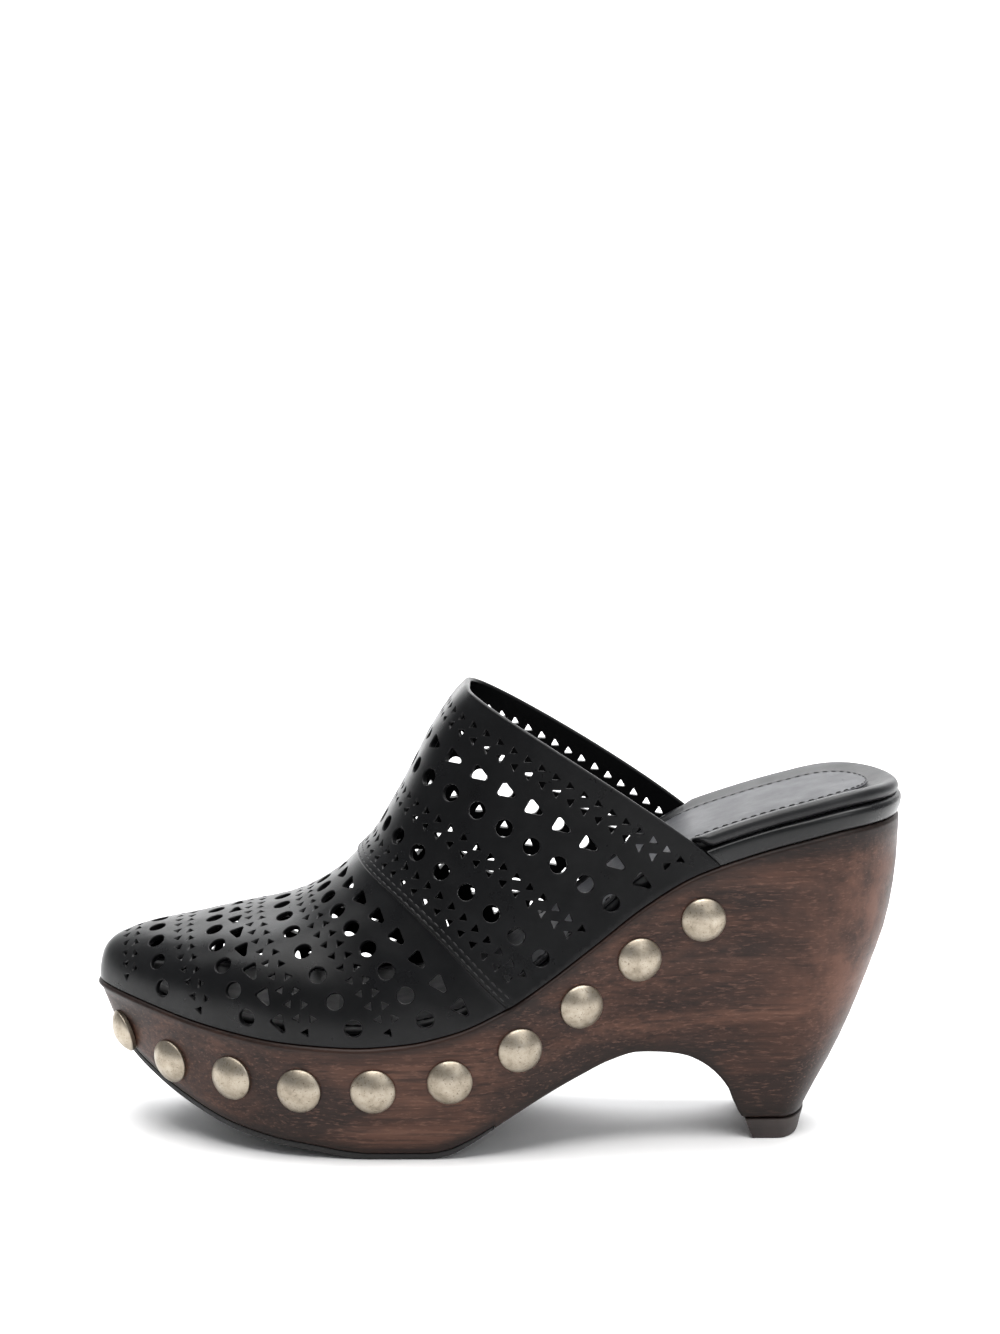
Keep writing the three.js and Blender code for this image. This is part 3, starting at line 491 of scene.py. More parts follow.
def brass_material():
    """Antique brass: pale tin-washed metal with brown specks and an uneven polish."""
    material, tree, shader = new_material("brass_antique", (0.44, 0.38, 0.29), 0.4, 1.0)
    plain = mapped(tree)
    cloud = noise(tree, plain, scale=260, detail=6, rough=0.65)
    speck = noise(tree, plain, scale=1500, rough=0.7)
    base = colors(tree, cloud, [
        (0.3, (0.27, 0.23, 0.176)), (0.5, (0.385, 0.335, 0.266)), (0.72, (0.46, 0.41, 0.336))])
    feed(tree, shader, {
        "Base Color": cover_with(tree, base, levels(tree, speck, 0.57, 0.67, 0.0, 0.75), (0.12, 0.085, 0.055)),
        "Roughness": levels(tree, cloud, 0.3, 0.7, 0.48, 0.34)})
    bump(tree, shader, [(cloud, 0.10, 0.0003), (speck, 0.10, 0.00008)])
    return material


def rubber_material(name, color, roughness):
    """Dull rubber, or waxed thread, with a fine grain."""
    material, tree, shader = new_material(name, color, roughness)
    plain = mapped(tree)
    cloud = noise(tree, plain, scale=150, detail=5, rough=0.6)
    fine = noise(tree, plain, scale=1400, rough=0.65)
    lighter = tuple(c * 1.7 for c in color)
    feed(tree, shader, {
        "Base Color": colors(tree, cloud, [(0.35, color), (0.75, lighter)]),
        "Roughness": levels(tree, cloud, 0.3, 0.7, roughness - 0.08, roughness + 0.08)})
    bump(tree, shader, [(fine, 0.3, 0.00015)])
    return material


# dark colour, light colour, roughness, coat, specular and, where it isn't 1, grain
upper_leather = leather_material(
    "leather_upper", (0.0024, 0.0025, 0.0028), (0.0046, 0.0048, 0.0054), 0.31, 0.05, 0.2)
bed_leather = leather_material(
    "leather_footbed", (0.0075, 0.0077, 0.0084), (0.012, 0.0124, 0.0135), 0.38, 0.05, 0.3)
band_leather = leather_material(
    "leather_band", (0.0045, 0.0047, 0.0051), (0.0075, 0.0078, 0.0084), 0.3, 0.12, 0.3, 0.6)
sock_leather = leather_material(
    "leather_sock", (0.034, 0.035, 0.039), (0.052, 0.0535, 0.059), 0.48, 0.02, 0.31)
thread_black = rubber_material("thread_black", (0.0045, 0.0045, 0.005), 0.5)
wood_stained = wood_material()
brass_antique = brass_material()
outsole_rubber = rubber_material("rubber_outsole", (0.009, 0.0085, 0.0085), 0.62)
lift_rubber = rubber_material("rubber_lift", (0.026, 0.018, 0.016), 0.55)


# Wood, outsole and tread block
TOE_PART = 0.3  # share of the last with stations drawn together towards the toe
TREAD_SOFT = 0.35  # rounded edge of the tread
# painted shade on the wood's sides, under the upper's edge and along the outsole's
SHADE_TOP = 1.3  # depth over which the painted shade fades under the top edge, and over the tread's
SHADE_LOW = 1.0
SHADE_MOST = 0.85


def outsole_thick(at):
    return OUTSOLE * lerp(1, OUTSOLE_TAIL, ramp(at, OUTSOLE_THIN, OUTSOLE_END))


def wood_stand(at):
    return np.where(at <= OUTSOLE_END, outsole_thick(at) + GAP, 0.0)


def stations(start, end):
    """Places along the last, closer together at the toe and around the heel."""
    toe = np.linspace(0, 1, 46) ** 2 * TOE_PART
    body = np.linspace(TOE_PART, ROUND_START, 96)
    turn = np.linspace(ROUND_START, 1, 26)
    every = np.unique(np.round(np.concatenate([toe, body, turn, EDGE_ROWS[:, 0]]), 5))
    inside = every[(every > start + 1e-4) & (every < end - 1e-4)]
    return np.concatenate([[start], inside, [end]])


def wood_sole():
    step = OUTSOLE_END + 3 * GAP / LENGTH
    ats = np.sort(np.concatenate([stations(0, 1), [OUTSOLE_END, step]]))
    turns = np.linspace(0, np.pi / 2, 6)
    downs = np.linspace(0, 1, 14)
    flat = np.minimum(ats, ROUND_START)
    turn = np.maximum(0, ats - ROUND_START) / (1 - ROUND_START) * (np.pi / 2)
    height = top_height(lerp(flat, 1, np.sin(turn))) - low_height(flat)
    first, last = EDGE_ROUND / height, 1 - (wood_stand(ats) + EDGE_ROUND) / height

    def side(sign):
        insets, falls = EDGE_ROUND * (1 - np.sin(turns)), EDGE_ROUND * (1 - np.cos(turns))
        top = [edge_point(sign, ats, inset, -fall) for inset, fall in zip(insets, falls)]
        low = [tread_point(sign, ats, inset, wood_stand(ats) + fall) for inset, fall in zip(insets, falls)]
        return top + [sole_point(sign, ats, lerp(first, last, t)) for t in downs[1:-1]] + low[::-1]

    points = both_sides(side)
    verts, faces, remap = rings(points)
    # painted shade darkens the sides towards both edges, under the upper and along the outsole, and a painted
    # reflection lightens the heel's back
    drop = np.concatenate([np.zeros(len(turns)), downs[1:-1], np.ones(len(turns))])
    drop = np.concatenate([drop, drop[::-1]])
    span = (points[:, 0, 2] - points[:, len(drop) // 2 - 1, 2])[:, None]
    depth = drop[None, :] * span
    rim = np.exp(-depth / SHADE_TOP) * 0.75 + np.exp(-(span - depth) / SHADE_LOW) * 0.8
    rim = np.clip(rim, 0, SHADE_MOST)
    # painted reflection: a lighter band high on the heel's back
    back = ramp(ats, 0.82, 0.96) * (1 - 0.6 * ramp(ats, 0.972, 1))
    heel_sheen = back[:, None] * ramp(drop, 0.02, 0.2) * (1 - ramp(drop, 0.45, 0.9))
    attributes = {}
    for name, values in (("rim", rim), ("pale", heel_sheen)):
        attributes[name] = np.zeros(len(verts))
        attributes[name][remap] = values.reshape(-1)
    return make("wood_body", verts, outward_faces(verts, faces), wood_stained, ["wood_sole"],
                attributes=attributes)


def outsole():
    ats = stations(0, OUTSOLE_END)
    thick = outsole_thick(ats)
    # inset behind the tread's edge, share of the thickness, rise
    profile = [(TREAD_SOFT, 1, GAP), (0.1, 1, GAP), (0, 1, -0.1), (0, 0, TREAD_SOFT), (0.1, 0, 0.1),
               (TREAD_SOFT, 0, 0)]

    def side(sign):
        return [tread_point(sign, ats, OUTSOLE_INSET + inset, share * thick + rise)
                for inset, share, rise in profile]

    points = both_sides(side)
    verts, faces, _ = rings(points)
    size = points.shape[1]
    cap = list(range(len(verts) - size, len(verts)))
    faces += [[cap[k], cap[k + 1], cap[size - 2 - k], cap[size - 1 - k]] for k in range(size // 2 - 1)]
    return make("outsole_tread", verts, outward_faces(verts, faces), outsole_rubber,
                ["outsole"])


def heel_lift():
    def outline(z, inset):
        back = float(heel_back(z / HEEL_HEIGHT))
        turn_depth = lerp(TREAD_ROUND, SEAT_ROUND, z / HEEL_HEIGHT)
        half = float(sole_point(1, ROUND_START, 1)[1]) - (BLOCK_TOP - z) * HEEL_LEAN
        front = TREAD_FRONT - BREAST_LEAN * z / BLOCK_TOP
        arc = np.linspace(-np.pi / 2, np.pi / 2, 33)
        line = [[front, y, z] for y in np.linspace(half, -half, 9)]
        line += [[back - turn_depth * (1 - math.cos(t)), half * math.sin(t), z] for t in arc]
        line = np.array(line)
        middle = line.mean(0)
        away = line - middle
        size = np.linalg.norm(away[:, :2], axis=1, keepdims=True)
        return middle + away * (1 - inset / size)

    # height and inset, with a fine line around the middle where its two layers meet
    middle, top = HEEL_LIFT / 2, HEEL_LIFT
    profile = [(0, 3), (0, 0.5), (0.12, 0.15), (0.5, 0), (middle - 0.1, 0), (middle, 0.12), (middle + 0.1, 0),
               (top - 0.3, 0), (top, 0.3), (top, 3)]
    points = np.stack([outline(z, inset) for z, inset in profile])
    verts, faces, _ = rings(points)
    size = points.shape[1]
    for start in (0, len(verts) - size):
        centre = len(verts)
        verts = np.vstack([verts, verts[start:start + size].mean(0)])
        order = [(start + k, start + (k + 1) % size) for k in range(size)]
        faces += [[b, a, centre] if start == 0 else [a, b, centre] for a, b in order]
    return make("tread_block", verts, outward_faces(verts, faces), lift_rubber, ["heel_lift"])


# The upper's finer forms, in millimetres where they aren't shares
LARGE_HOLES = ("round", "drop")
LARGE_EDGE = 0.28  # width of the softened edge of a large hole
SMALL_EDGE = 0.16  # that of a small one, as a share
HOLE_BEVEL = 0.16  # depth of those edges
SMALL_BEVEL = 0.07
COLUMN_SHIFT = 0.48  # how far on, in steps, the holes of the second column stand
COLLAR_FOLD = 0.8  # how far the folded edge bulges back
FOOT_KEEP = 0.004  # share of a section beside the foot that stays whole
MESH_STEP = 1.55
SEAM_MESH_STEP = 1.4
HOLE_CLEAR = 0.45  # least distance of the mesh's other points from a hole's edge, and from the seam's rows
SEAM_CLEAR = 0.5


# Places on the upper's sections
ridge_rise = curve(
    RIDGE[:, 0], RIDGE[:, 1] * INSTEP_HEIGHT + RIDGE[:, 2] * (COLLAR_HEIGHT - INSTEP_HEIGHT), np.sqrt)
foot_place, ridge_offset, fullness, bow_lateral, bow_medial, bow_high = (
    curve(SECTIONS[:, 0], column * unit_size)
    for column, unit_size in zip(SECTIONS.T[1:], (1, TOE_OFFSET, 1, LENGTH, LENGTH, 1)))


def sweep_point(ridge, sweep):
    """A point on a section, which sweeps from the outer foot over the ridge to the inner foot."""
    ridge, sweep = together(ridge, sweep)
    sign = np.where(sweep < np.pi / 2, -1.0, 1.0)
    foot = edge_point(sign, foot_place(ridge), FOOT_INSET, GAP)
    top = np.stack([
        ridge * LENGTH + FOOT_INSET, ridge_offset(ridge), top_height(ridge) + GAP + ridge_rise(ridge)], -1)
    centre = np.stack([foot[..., 0], top[..., 1], foot[..., 2]], -1)
    power = 2 / fullness(ridge)
    across = (np.abs(np.cos(sweep)) ** power)[..., None]
    up = np.abs(np.sin(sweep)) ** power
    bowed = up ** bow_high(ridge)
    bow = np.where(sign < 0, bow_lateral(ridge), bow_medial(ridge))
    point = centre + (foot - centre) * across + (top - centre) * up[..., None]
    point[..., 0] += 4 * bowed * (1 - bowed) * bow
    return point


TINY = 1e-5  # the first section, just behind the toe tip
grid_ridge = TINY + (COLLAR - TINY) * np.linspace(0, 1, 300) ** 2
grid_share = np.linspace(0, 1, 401)
quarter = np.pi / 2 * ramp(np.linspace(0, 1, 193), 0, 1)  # closer steps where the sections turn fastest
grid_sweep = np.concatenate([quarter, np.pi - quarter[-2::-1]])
section_points = sweep_point(grid_ridge[:, None], grid_sweep[None, :])
section_steps = np.linalg.norm(np.diff(section_points, axis=1), axis=2)
section_lengths = np.concatenate([np.zeros((len(grid_ridge), 1)), np.cumsum(section_steps, 1)], 1)
section_total = section_lengths[:, -1]
share_sweep = np.stack([
    np.interp(grid_share * lengths[-1], lengths, grid_sweep) for lengths in section_lengths])


def section_length(ridge):
    return np.interp(ridge, grid_ridge, section_total)


def skin_point(ridge, share):
    """A point on the upper's outer face: ridge names the section, share the place along it."""
    ridge = np.clip(ridge, TINY, COLLAR)
    share = np.clip(share, 0, 1)
    r = np.sqrt((ridge - TINY) / (COLLAR - TINY)) * (len(grid_ridge) - 1)
    s = share * (len(grid_share) - 1)
    ri, si = np.minimum(r.astype(int), len(grid_ridge) - 2), np.minimum(s.astype(int), len(grid_share) - 2)
    rf, sf = r - ri, s - si
    sweep = ((share_sweep[ri, si] * (1 - sf) + share_sweep[ri, si + 1] * sf) * (1 - rf)
             + (share_sweep[ri + 1, si] * (1 - sf) + share_sweep[ri + 1, si + 1] * sf) * rf)
    return sweep_point(ridge, sweep)


def skin_slopes(ridge, share):
    """How the outer face runs along ridge and along share, and its direction out."""
    step = 1e-3
    r0, r1 = np.maximum(TINY, ridge - step), np.minimum(COLLAR, ridge + step)
    s0, s1 = np.maximum(0, share - step), np.minimum(1, share + step)
    along = (skin_point(r1, share) - skin_point(r0, share)) / (r1 - r0)[..., None]
    around = (skin_point(ridge, s1) - skin_point(ridge, s0)) / (s1 - s0)[..., None]
    return along, around, unit(np.cross(along, around))


# The flat pattern that the upper is meshed on: u along the foot, v along a section
ridge_lines = skin_point(grid_ridge[:, None], np.linspace(0.02, 0.98, 25)[None, :])
ridge_steps = np.linalg.norm(np.diff(ridge_lines, axis=0), axis=2).mean(1)
grid_u = np.concatenate([[0], np.cumsum(ridge_steps)])


def to_flat(ridge, share):
    return np.stack([np.interp(ridge, grid_ridge, grid_u), (share - 0.5) * section_length(ridge)], -1)


def from_flat(flat):
    ridge = np.interp(flat[..., 0], grid_u, grid_ridge)
    return ridge, np.clip(flat[..., 1] / np.maximum(section_length(ridge), 1e-6) + 0.5, 0, 1)


SEAM_STITCHES = (0.9, 2.6)  # distance of the two stitch rows behind the seam
# How the rear panel stands over the vamp: offset of the outer face at a distance behind the seam
LAP_PROFILE = np.array([
    [-0.35, 0], [-0.1, 0.05], [0.0, 0.5], [0.12, 0.72], [0.35, 0.8], [0.7, 0.78], [0.9, 0.68], [1.15, 0.75],
    [2.3, 0.74], [2.6, 0.62], [2.9, 0.68], [6, 0.45], [LAP, SEAM_STEP * LAP_REST]])
seam_share = np.linspace(0, 1, 201)
seam_along, seam_around, seam_out = skin_slopes(np.full(201, SEAM), seam_share)
seam_back = unit(np.cross(unit(seam_around), seam_out))
seam_rate = np.maximum((seam_along * seam_back).sum(-1), 1.0)


def seam_distance(ridge, share):
    return (ridge - SEAM) * np.interp(share, seam_share, seam_rate)


def behind_seam(distance, share):
    """The section at a distance behind the seam."""
    return SEAM + distance / np.interp(share, seam_share, seam_rate)


def proud(ridge, share):
    """How far the outer face stands out from its sections."""
    return np.interp(seam_distance(ridge, share), LAP_PROFILE[:, 0], LAP_PROFILE[:, 1])


def hole_outline(shape, to_foot):
    """Outline in its own plane: x along the row, y towards the collar, in millimetres.

    to_foot is the sign of x that leads to the foot. Three-cornered holes point there or to the ridge.
    """
    if shape == "round":
        turn = np.linspace(0, 2 * np.pi, 28, endpoint=False)
        return np.stack([np.cos(turn), np.sin(turn)], -1) * ROUND_HOLE / 2
    apex = [-to_foot if shape == "small_ridge" else to_foot, 1]
    if shape == "drop":
        corner = np.array([[-0.62, -0.62], [-0.62, 0.62], [1.05, 0]]) * apex * DROP_HOLE / 2 * 0.8
        radius, steps = 0.75, 8
    else:
        corner = np.array([[-0.5, -0.87], [-0.5, 0.87], [1, 0]]) * apex * SMALL_HOLE / math.sqrt(3) * 0.86
        radius, steps = 0.16, 2
    if np.cross(corner[1] - corner[0], corner[2] - corner[0]) < 0:
        corner = corner[::-1]
    points = []
    for before, here, after in zip(np.roll(corner, 1, 0), corner, np.roll(corner, -1, 0)):
        start, end = (math.atan2(y, x) - math.pi / 2 for x, y in (here - before, after - here))
        if end < start:
            end += 2 * math.pi
        for turn in np.linspace(start, end, steps):
            points.append(here + radius * np.array([math.cos(turn), math.sin(turn)]))
    return np.array(points)


def hole_loops():
    """Every hole: its centre on the pattern and its outline's steps there for a scale of 1."""
    holes = []

    def add_hole(ridge, share, shape, shift=0.0):
        along, around, out = (slope[0] for slope in skin_slopes(np.array([ridge]), np.array([share])))
        across, rate = unit(around), np.linalg.norm(around)
        ridge_step = 1 / np.dot(along, unit(np.cross(across, out)))  # for 1 mm towards the collar
        ridge = ridge + shift * ridge_step
        share = share - shift * ridge_step * np.dot(along, across) / rate
        outline = hole_outline(shape, -1 if share < 0.5 else 1)
        ridges = outline[:, 1] * ridge_step
        shares = (outline[:, 0] - outline[:, 1] * ridge_step * np.dot(along, across)) / rate
        holes.append((shape, np.array([ridge, share]), np.stack([ridges, shares], -1)))

    for ridge, shape, count in HOLE_ROWS:
        margin = HOLE_MARGIN / section_length(ridge)
        for k in range(count):
            add_hole(ridge, lerp(margin, 1 - margin, k / (count - 1)), shape)
    for ridge in SMALL_ROWS:
        total = section_length(ridge)
        count = max(3, int(round((total - 2 * SMALL_MARGIN) / SMALL_PITCH)) + 1) // 2 * 2 + 1
        margin = SMALL_MARGIN / total
        shift = -COLUMN_GAP if ridge < SEAM else COLUMN_GAP
        for k in range(count):
            share = lerp(margin, 1 - margin, k / (count - 1))
            add_hole(ridge, share, "small_foot", shift)
            if k < count - 1:
                between = share + COLUMN_SHIFT * (1 - 2 * margin) / (count - 1)
                add_hole(ridge, between, "small_ridge", -shift)
    return holes


def resample(points, spacing):
    """Points at an even spacing along a line."""
    lengths = np.concatenate([[0], np.cumsum(np.linalg.norm(np.diff(points, axis=0), axis=1))])
    count = max(2, int(round(lengths[-1] / spacing)) + 1)
    marks = np.linspace(0, lengths[-1], count)
    return np.stack([np.interp(marks, lengths, points[:, k]) for k in range(points.shape[1])], -1)


def pattern_mesh():
    """The flat pattern in triangles: places, corners, holes, the foot's two edges and the collar's."""
    flat_points, params, edges, holes = [], [], [], []

    def put(ridge, share):
        start = len(params)
        params.extend(np.stack([ridge, share], -1))
        flat_points.extend(to_flat(ridge, share))
        return list(range(start, len(params)))

    def put_loop(ids):
        edges.extend(zip(ids, ids[1:] + ids[:1]))

    # the pattern's outline
    line = resample(to_flat(grid_ridge, np.zeros(len(grid_ridge))), MESH_STEP)
    ridge_line = from_flat(line)[0]
    collar_shares = np.linspace(0, 1, int(section_total[-1] / MESH_STEP) + 1)[1:-1]
    low = put(ridge_line, np.zeros(len(ridge_line)))
    rim = put(np.full(len(collar_shares), COLLAR), collar_shares)
    high = put(ridge_line[::-1], np.ones(len(ridge_line)))
    border = low + rim + high
    put_loop(border)

    # holes, except where they would cut the foot's edge
    middles, sizes = [], []
    for shape, centre, outline in hole_loops():
        at = centre + outline * (1 + (LARGE_EDGE / (ROUND_HOLE / 2) if shape in LARGE_HOLES else SMALL_EDGE))
        if at[:, 1].min() < FOOT_KEEP or at[:, 1].max() > 1 - FOOT_KEEP:
            continue
        ids = put(*at.T)
        put_loop(ids)
        holes.append((shape, centre, outline, ids))
        flat = np.array(flat_points[ids[0]:])
        middles.append(flat.mean(0))
        sizes.append(np.linalg.norm(flat - middles[-1], axis=1).max())

    # rows along the seam
    for distance in LAP_PROFILE[:-2, 0]:
        share = np.linspace(FOOT_KEEP, 1 - FOOT_KEEP, int(section_length(SEAM) / SEAM_MESH_STEP))
        ids = put(behind_seam(distance, share), share)
        edges.extend(zip(ids, ids[1:]))

    # staggered rows between, clear of the holes and the seam
    for k, u in enumerate(np.arange(0.8 * MESH_STEP, grid_u[-1] - 0.5 * MESH_STEP, 0.87 * MESH_STEP)):
        total = section_length(np.interp(u, grid_u, grid_ridge))
        count = max(0, int((total - MESH_STEP) / MESH_STEP))
        v = (np.arange(count) - (count - 1) / 2 + (0.25 if k % 2 else -0.25)) * MESH_STEP
        flat = np.stack([np.full(count, u), v], -1)
        clear = np.linalg.norm(flat[:, None] - np.array(middles), axis=2) - np.array(sizes)
        ridge, share = from_flat(flat[clear.min(1) > HOLE_CLEAR])
        distance = seam_distance(ridge, share)
        keep = (distance < LAP_PROFILE[0, 0] - SEAM_CLEAR) | (distance > LAP_PROFILE[-3, 0] + SEAM_CLEAR)
        put(ridge[keep], share[keep])

    result = delaunay_2d_cdt([tuple(p) for p in flat_points], edges, [], 0, 1e-5, True)
    flat_out, triangles = np.array([tuple(p) for p in result[0]]), np.array(result[2])
    places = np.stack(from_flat(flat_out), -1)
    new = {}
    for i, sources in enumerate(result[3]):
        if sources:
            places[i] = params[sources[0]]
            new.update(dict.fromkeys(sources, i))

    def renumbered(ids):
        return [new[i] for i in ids]

    holes = [(shape, centre, outline, renumbered(ids)) for shape, centre, outline, ids in holes]
    owner = np.full(len(flat_out), -1)
    for number, hole in enumerate(holes):
        owner[hole[3]] = number
    own = owner[triangles]
    in_hole = (own[:, 0] >= 0) & (own == own[:, :1]).all(1)
    middle = flat_out[triangles].mean(1)
    half = np.interp(middle[:, 0], grid_u, section_total) / 2
    outside = np.isin(triangles, renumbered(border)).all(1) & (np.abs(middle[:, 1]) > half - 1e-3)
    collar = renumbered([low[-1]] + rim + [high[0]])
    return places, triangles[~in_hole & ~outside], holes, [renumbered(low), renumbered(high)], collar


def upper():
    """The pattern's mesh as an outer and an inner face, with the holes, the collar and the foot closed."""
    places, triangles, holes, foot_edges, collar = pattern_mesh()
    ridge, share = places.T
    base = skin_point(ridge, share)
    _, around, out = skin_slopes(ridge, share)
    at_foot = (share <= 0) | (share >= 1)
    out = np.where(at_foot[:, None], unit(out * [1, 1, 0]), out)
    outer = base + out * proud(ridge, share)[:, None]
    inner = base - out * WALL
    for skin in (outer, inner):
        skin[at_foot, 2] = top_height(np.clip(skin[at_foot, 0] / LENGTH, 0, 1)) + GAP
    # the outer face's own direction out, where the lap's profile tilts it
    tilt = 0.02
    step = tilt / seam_rate.mean()
    rise = (proud(ridge + step, share) - proud(ridge - step, share)) / (2 * tilt)
    back = unit(np.cross(unit(around), out))

    count = len(base)
    verts, normals = [outer, inner], [unit(out - back * rise[:, None]), -out]
    # painted shade inside the shoe: none on the outer face, full on the inner face
    inside = [np.zeros(count), np.ones(count)]
    faces = [list(t) for t in triangles] + [[count + t[0], count + t[2], count + t[1]] for t in triangles]

    def put_row(points, directions, painted_shade):
        start = sum(len(v) for v in verts)
        verts.append(points)
        normals.append(directions)
        inside.append(np.full(len(points), painted_shade))
        return list(range(start, start + len(points)))

    # each hole's softened edge and wall
    for shape, centre, outline, ids in holes:
        large = shape in LARGE_HOLES
        bevel = HOLE_BEVEL if large else SMALL_BEVEL
        steps = [(0.10, -bevel), (0.0, -bevel * 2.6)] if large else [(0.03, -bevel)]
        chain = [ids]
        for grow, height in steps + [(0.0, 0.2 - WALL)]:
            at = centre + outline * (1 + grow / (ROUND_HOLE / 2))
            surface = skin_point(*at.T)
            direction = skin_slopes(*at.T)[2]
            lift = proud(*at.T)[:, None] if height > -1 else 0
            inward = unit(surface.mean(0) - surface)
            inward = unit(inward - direction * (inward * direction).sum(-1, keepdims=True))
            at_edge = height == -bevel
            facing = unit(direction + inward) if at_edge else inward
            # painted shade in the hole: slight on its softened edge, deep down its wall
            chain.append(put_row(surface + direction * (height + lift), facing, 0.1 if at_edge else 0.7))
        faces += [[a, d, c, b] for a, b, c, d in joined(chain + [[count + i for i in ids]])]

    # the folded edge at the collar
    middle = (outer[collar] + inner[collar]) / 2
    radius = np.linalg.norm(outer[collar] - inner[collar], axis=1, keepdims=True) / 2
    chain = [collar]
    for turn in np.radians((30, 65, 90, 115, 150)):
        outward_part, back_part = out[collar] * math.cos(turn), back[collar] * math.sin(turn)
        ring = middle + outward_part * radius + back_part * COLLAR_FOLD
        chain.append(put_row(ring, unit(outward_part + back_part), 0))
    faces += joined(chain + [[count + i for i in collar]], closed=False)

    # the foot's edge, on the wood
    for ids in foot_edges:
        faces += [[a, b, count + b, count + a] for a, b in zip(ids, ids[1:])]
    verts, normals = np.vstack(verts), np.vstack(normals)
    return make("upper_leather", verts, oriented(verts, faces, normals), upper_leather,
                ["upper"], normals=normals, attributes={"inside": np.concatenate(inside)})


def oriented(verts, faces, normals):
    """Each face turned to agree with its corners' normals."""
    turned = []
    for f in faces:
        p = verts[f]
        area = np.cross(p[1] - p[0], p[2] - p[0]) if len(f) == 3 else np.cross(p[2] - p[0], p[3] - p[1])
        turned.append(f if np.dot(area, normals[f].sum(0)) >= 0 else f[::-1])
    return turned


# Stitches: short rounded threads laid in rows
STITCH_PROFILE = [(-1, 0.05), (-0.86, 0.7), (-0.45, 1), (0.45, 1), (0.86, 0.7), (1, 0.05)]
STITCH_SIDES = 6


def stitches(name, centres, directions, ups, length, radius):
    verts, faces = [], []
    for centre, direction, up in zip(centres, directions, ups):
        side = np.cross(direction, up)
        start = len(verts)
        for place, size in STITCH_PROFILE:
            lift = radius * (0.35 - 0.9 * place * place)
            for k in range(STITCH_SIDES):
                turn = 2 * math.pi * k / STITCH_SIDES
                verts.append(centre + direction * place * length / 2 + up * lift
                             + (side * math.cos(turn) + up * math.sin(turn)) * radius * size)
        faces += joined(np.arange(start, len(verts)).reshape(-1, STITCH_SIDES))
    return make(name, np.array(verts), faces, thread_black)


def seam_stitches():
    centres, directions, ups = [], [], []
    total = section_length(SEAM)
    margin, pitch = 2, 2.7
    for distance in SEAM_STITCHES:
        count = int((total - 2 * margin) / pitch)
        share = (margin + (np.arange(count) + 0.5) * pitch) / total
        share = share[share < 1 - margin / total]
        ridge = behind_seam(distance, share)
        point = skin_point(ridge, share)
        ahead = skin_point(behind_seam(distance, share + 0.002), share + 0.002)
        out = skin_slopes(ridge, share)[2]
        centres += list(point + out * (proud(ridge, share) + 0.02)[:, None])
        directions += list(unit(ahead - point))
        ups += list(out)
    return stitches("stitches_seam", centres, directions, ups, 2.0, 0.2)


# Footbed, sock and band
RIM_TOP = BAND_HEIGHT + 2 * GAP + RIM_HEIGHT
RIM_ROLL = 4.6  # height of the roll over the band
RIM_TUCK = 3.0  # length over which the roll comes out from inside the upper
RIM_OVERHANG = 0.3
HEEL_DIP = 1.3  # how far the roll sinks at the very back
BAND_SEEN = RIM_TOP - RIM_ROLL - GAP  # height of the band under it
BAND_START = float(foot_place(COLLAR)) + 3 * GAP / LENGTH
FORE_INSET = FOOT_INSET + WALL + PAD_CLEAR
REAR_INSET = FOOT_INSET + BAND_THICK + GAP
SOCK_LEVEL = 0.9  # the sock's edge, as a share of the seat's drop


def bed_height(at):
    return lerp(PAD_FORE, RIM_TOP, ramp(at, *PAD_RISE))


def bed_drop(at):
    return SEAT_DROP * (bed_height(at) - PAD_FORE) / (RIM_TOP - PAD_FORE)


def shade(verts, start, end):
    """Painted shade inside the shoe: full under the upper, and none behind its collar."""
    return {"inside": 1 - ramp(verts[:, 0] / LENGTH, start, end)}


def footbed():
    ats = stations(0, 1)
    drop = bed_drop(ats)
    wall = lerp(FORE_INSET, REAR_INSET, ramp(ats, BAND_START, BAND_START + RIM_WIDTH / LENGTH))
    rim_start = BAND_START - BAND_LEAN * BAND_HEIGHT / LENGTH
    roll = lerp(RIM_HEIGHT, RIM_ROLL, ramp(ats, rim_start, rim_start + RIM_WIDTH / LENGTH))
    height = bed_height(ats) - HEEL_DIP * ramp(ats, 0.92, 1)
    half = []
    for sign in (-1, 1):
        rows = [edge_point(sign, ats, wall, GAP), edge_point(sign, ats, wall, height - roll - GAP)]
        # the roll, which comes out along the collar's lean
        for turn in np.radians(np.linspace(-60, 90, 11)):
            fall = roll / 2 * (1 - math.sin(turn))
            start = BAND_START - BAND_LEAN * (height - fall) / LENGTH
            out = lerp(FORE_INSET, FOOT_INSET - RIM_OVERHANG, ramp(ats, start, start + RIM_TUCK / LENGTH))
            inset = out + RIM_WIDTH / 2 * (1 - math.cos(turn))
            rows.append(edge_point(sign, ats, inset, height - fall))
        # the slope down to the sock, and the step that it lies in
        for t in np.linspace(0, 1, 9)[1:]:
            inset = lerp(out + RIM_WIDTH / 2, SOCK_INSET - 0.5, t)
            rows.append(edge_point(sign, ats, inset, height - drop * float(ramp(t, 0, 1)) * SOCK_LEVEL))
        rows.append(edge_point(sign, ats, SOCK_INSET, height - drop * SOCK_LEVEL - 0.45))
        rows.append(edge_point(sign, ats, SOCK_INSET + 1.2, height - drop - 0.5))
        half.append(np.stack(rows, 1))
    verts, faces, _ = rings(np.concatenate([half[0][:, ::-1], half[1]], 1))
    bed = make("footbed_padded", verts, outward_faces(verts, faces), bed_leather,
               ["footbed"], attributes=shade(verts, 0.58, 0.68))
    return bed


def sock_surface(sign, ats, inset, lift):
    return edge_point(sign, ats, inset, bed_height(ats) - bed_drop(ats) * SOCK_LEVEL + lift)


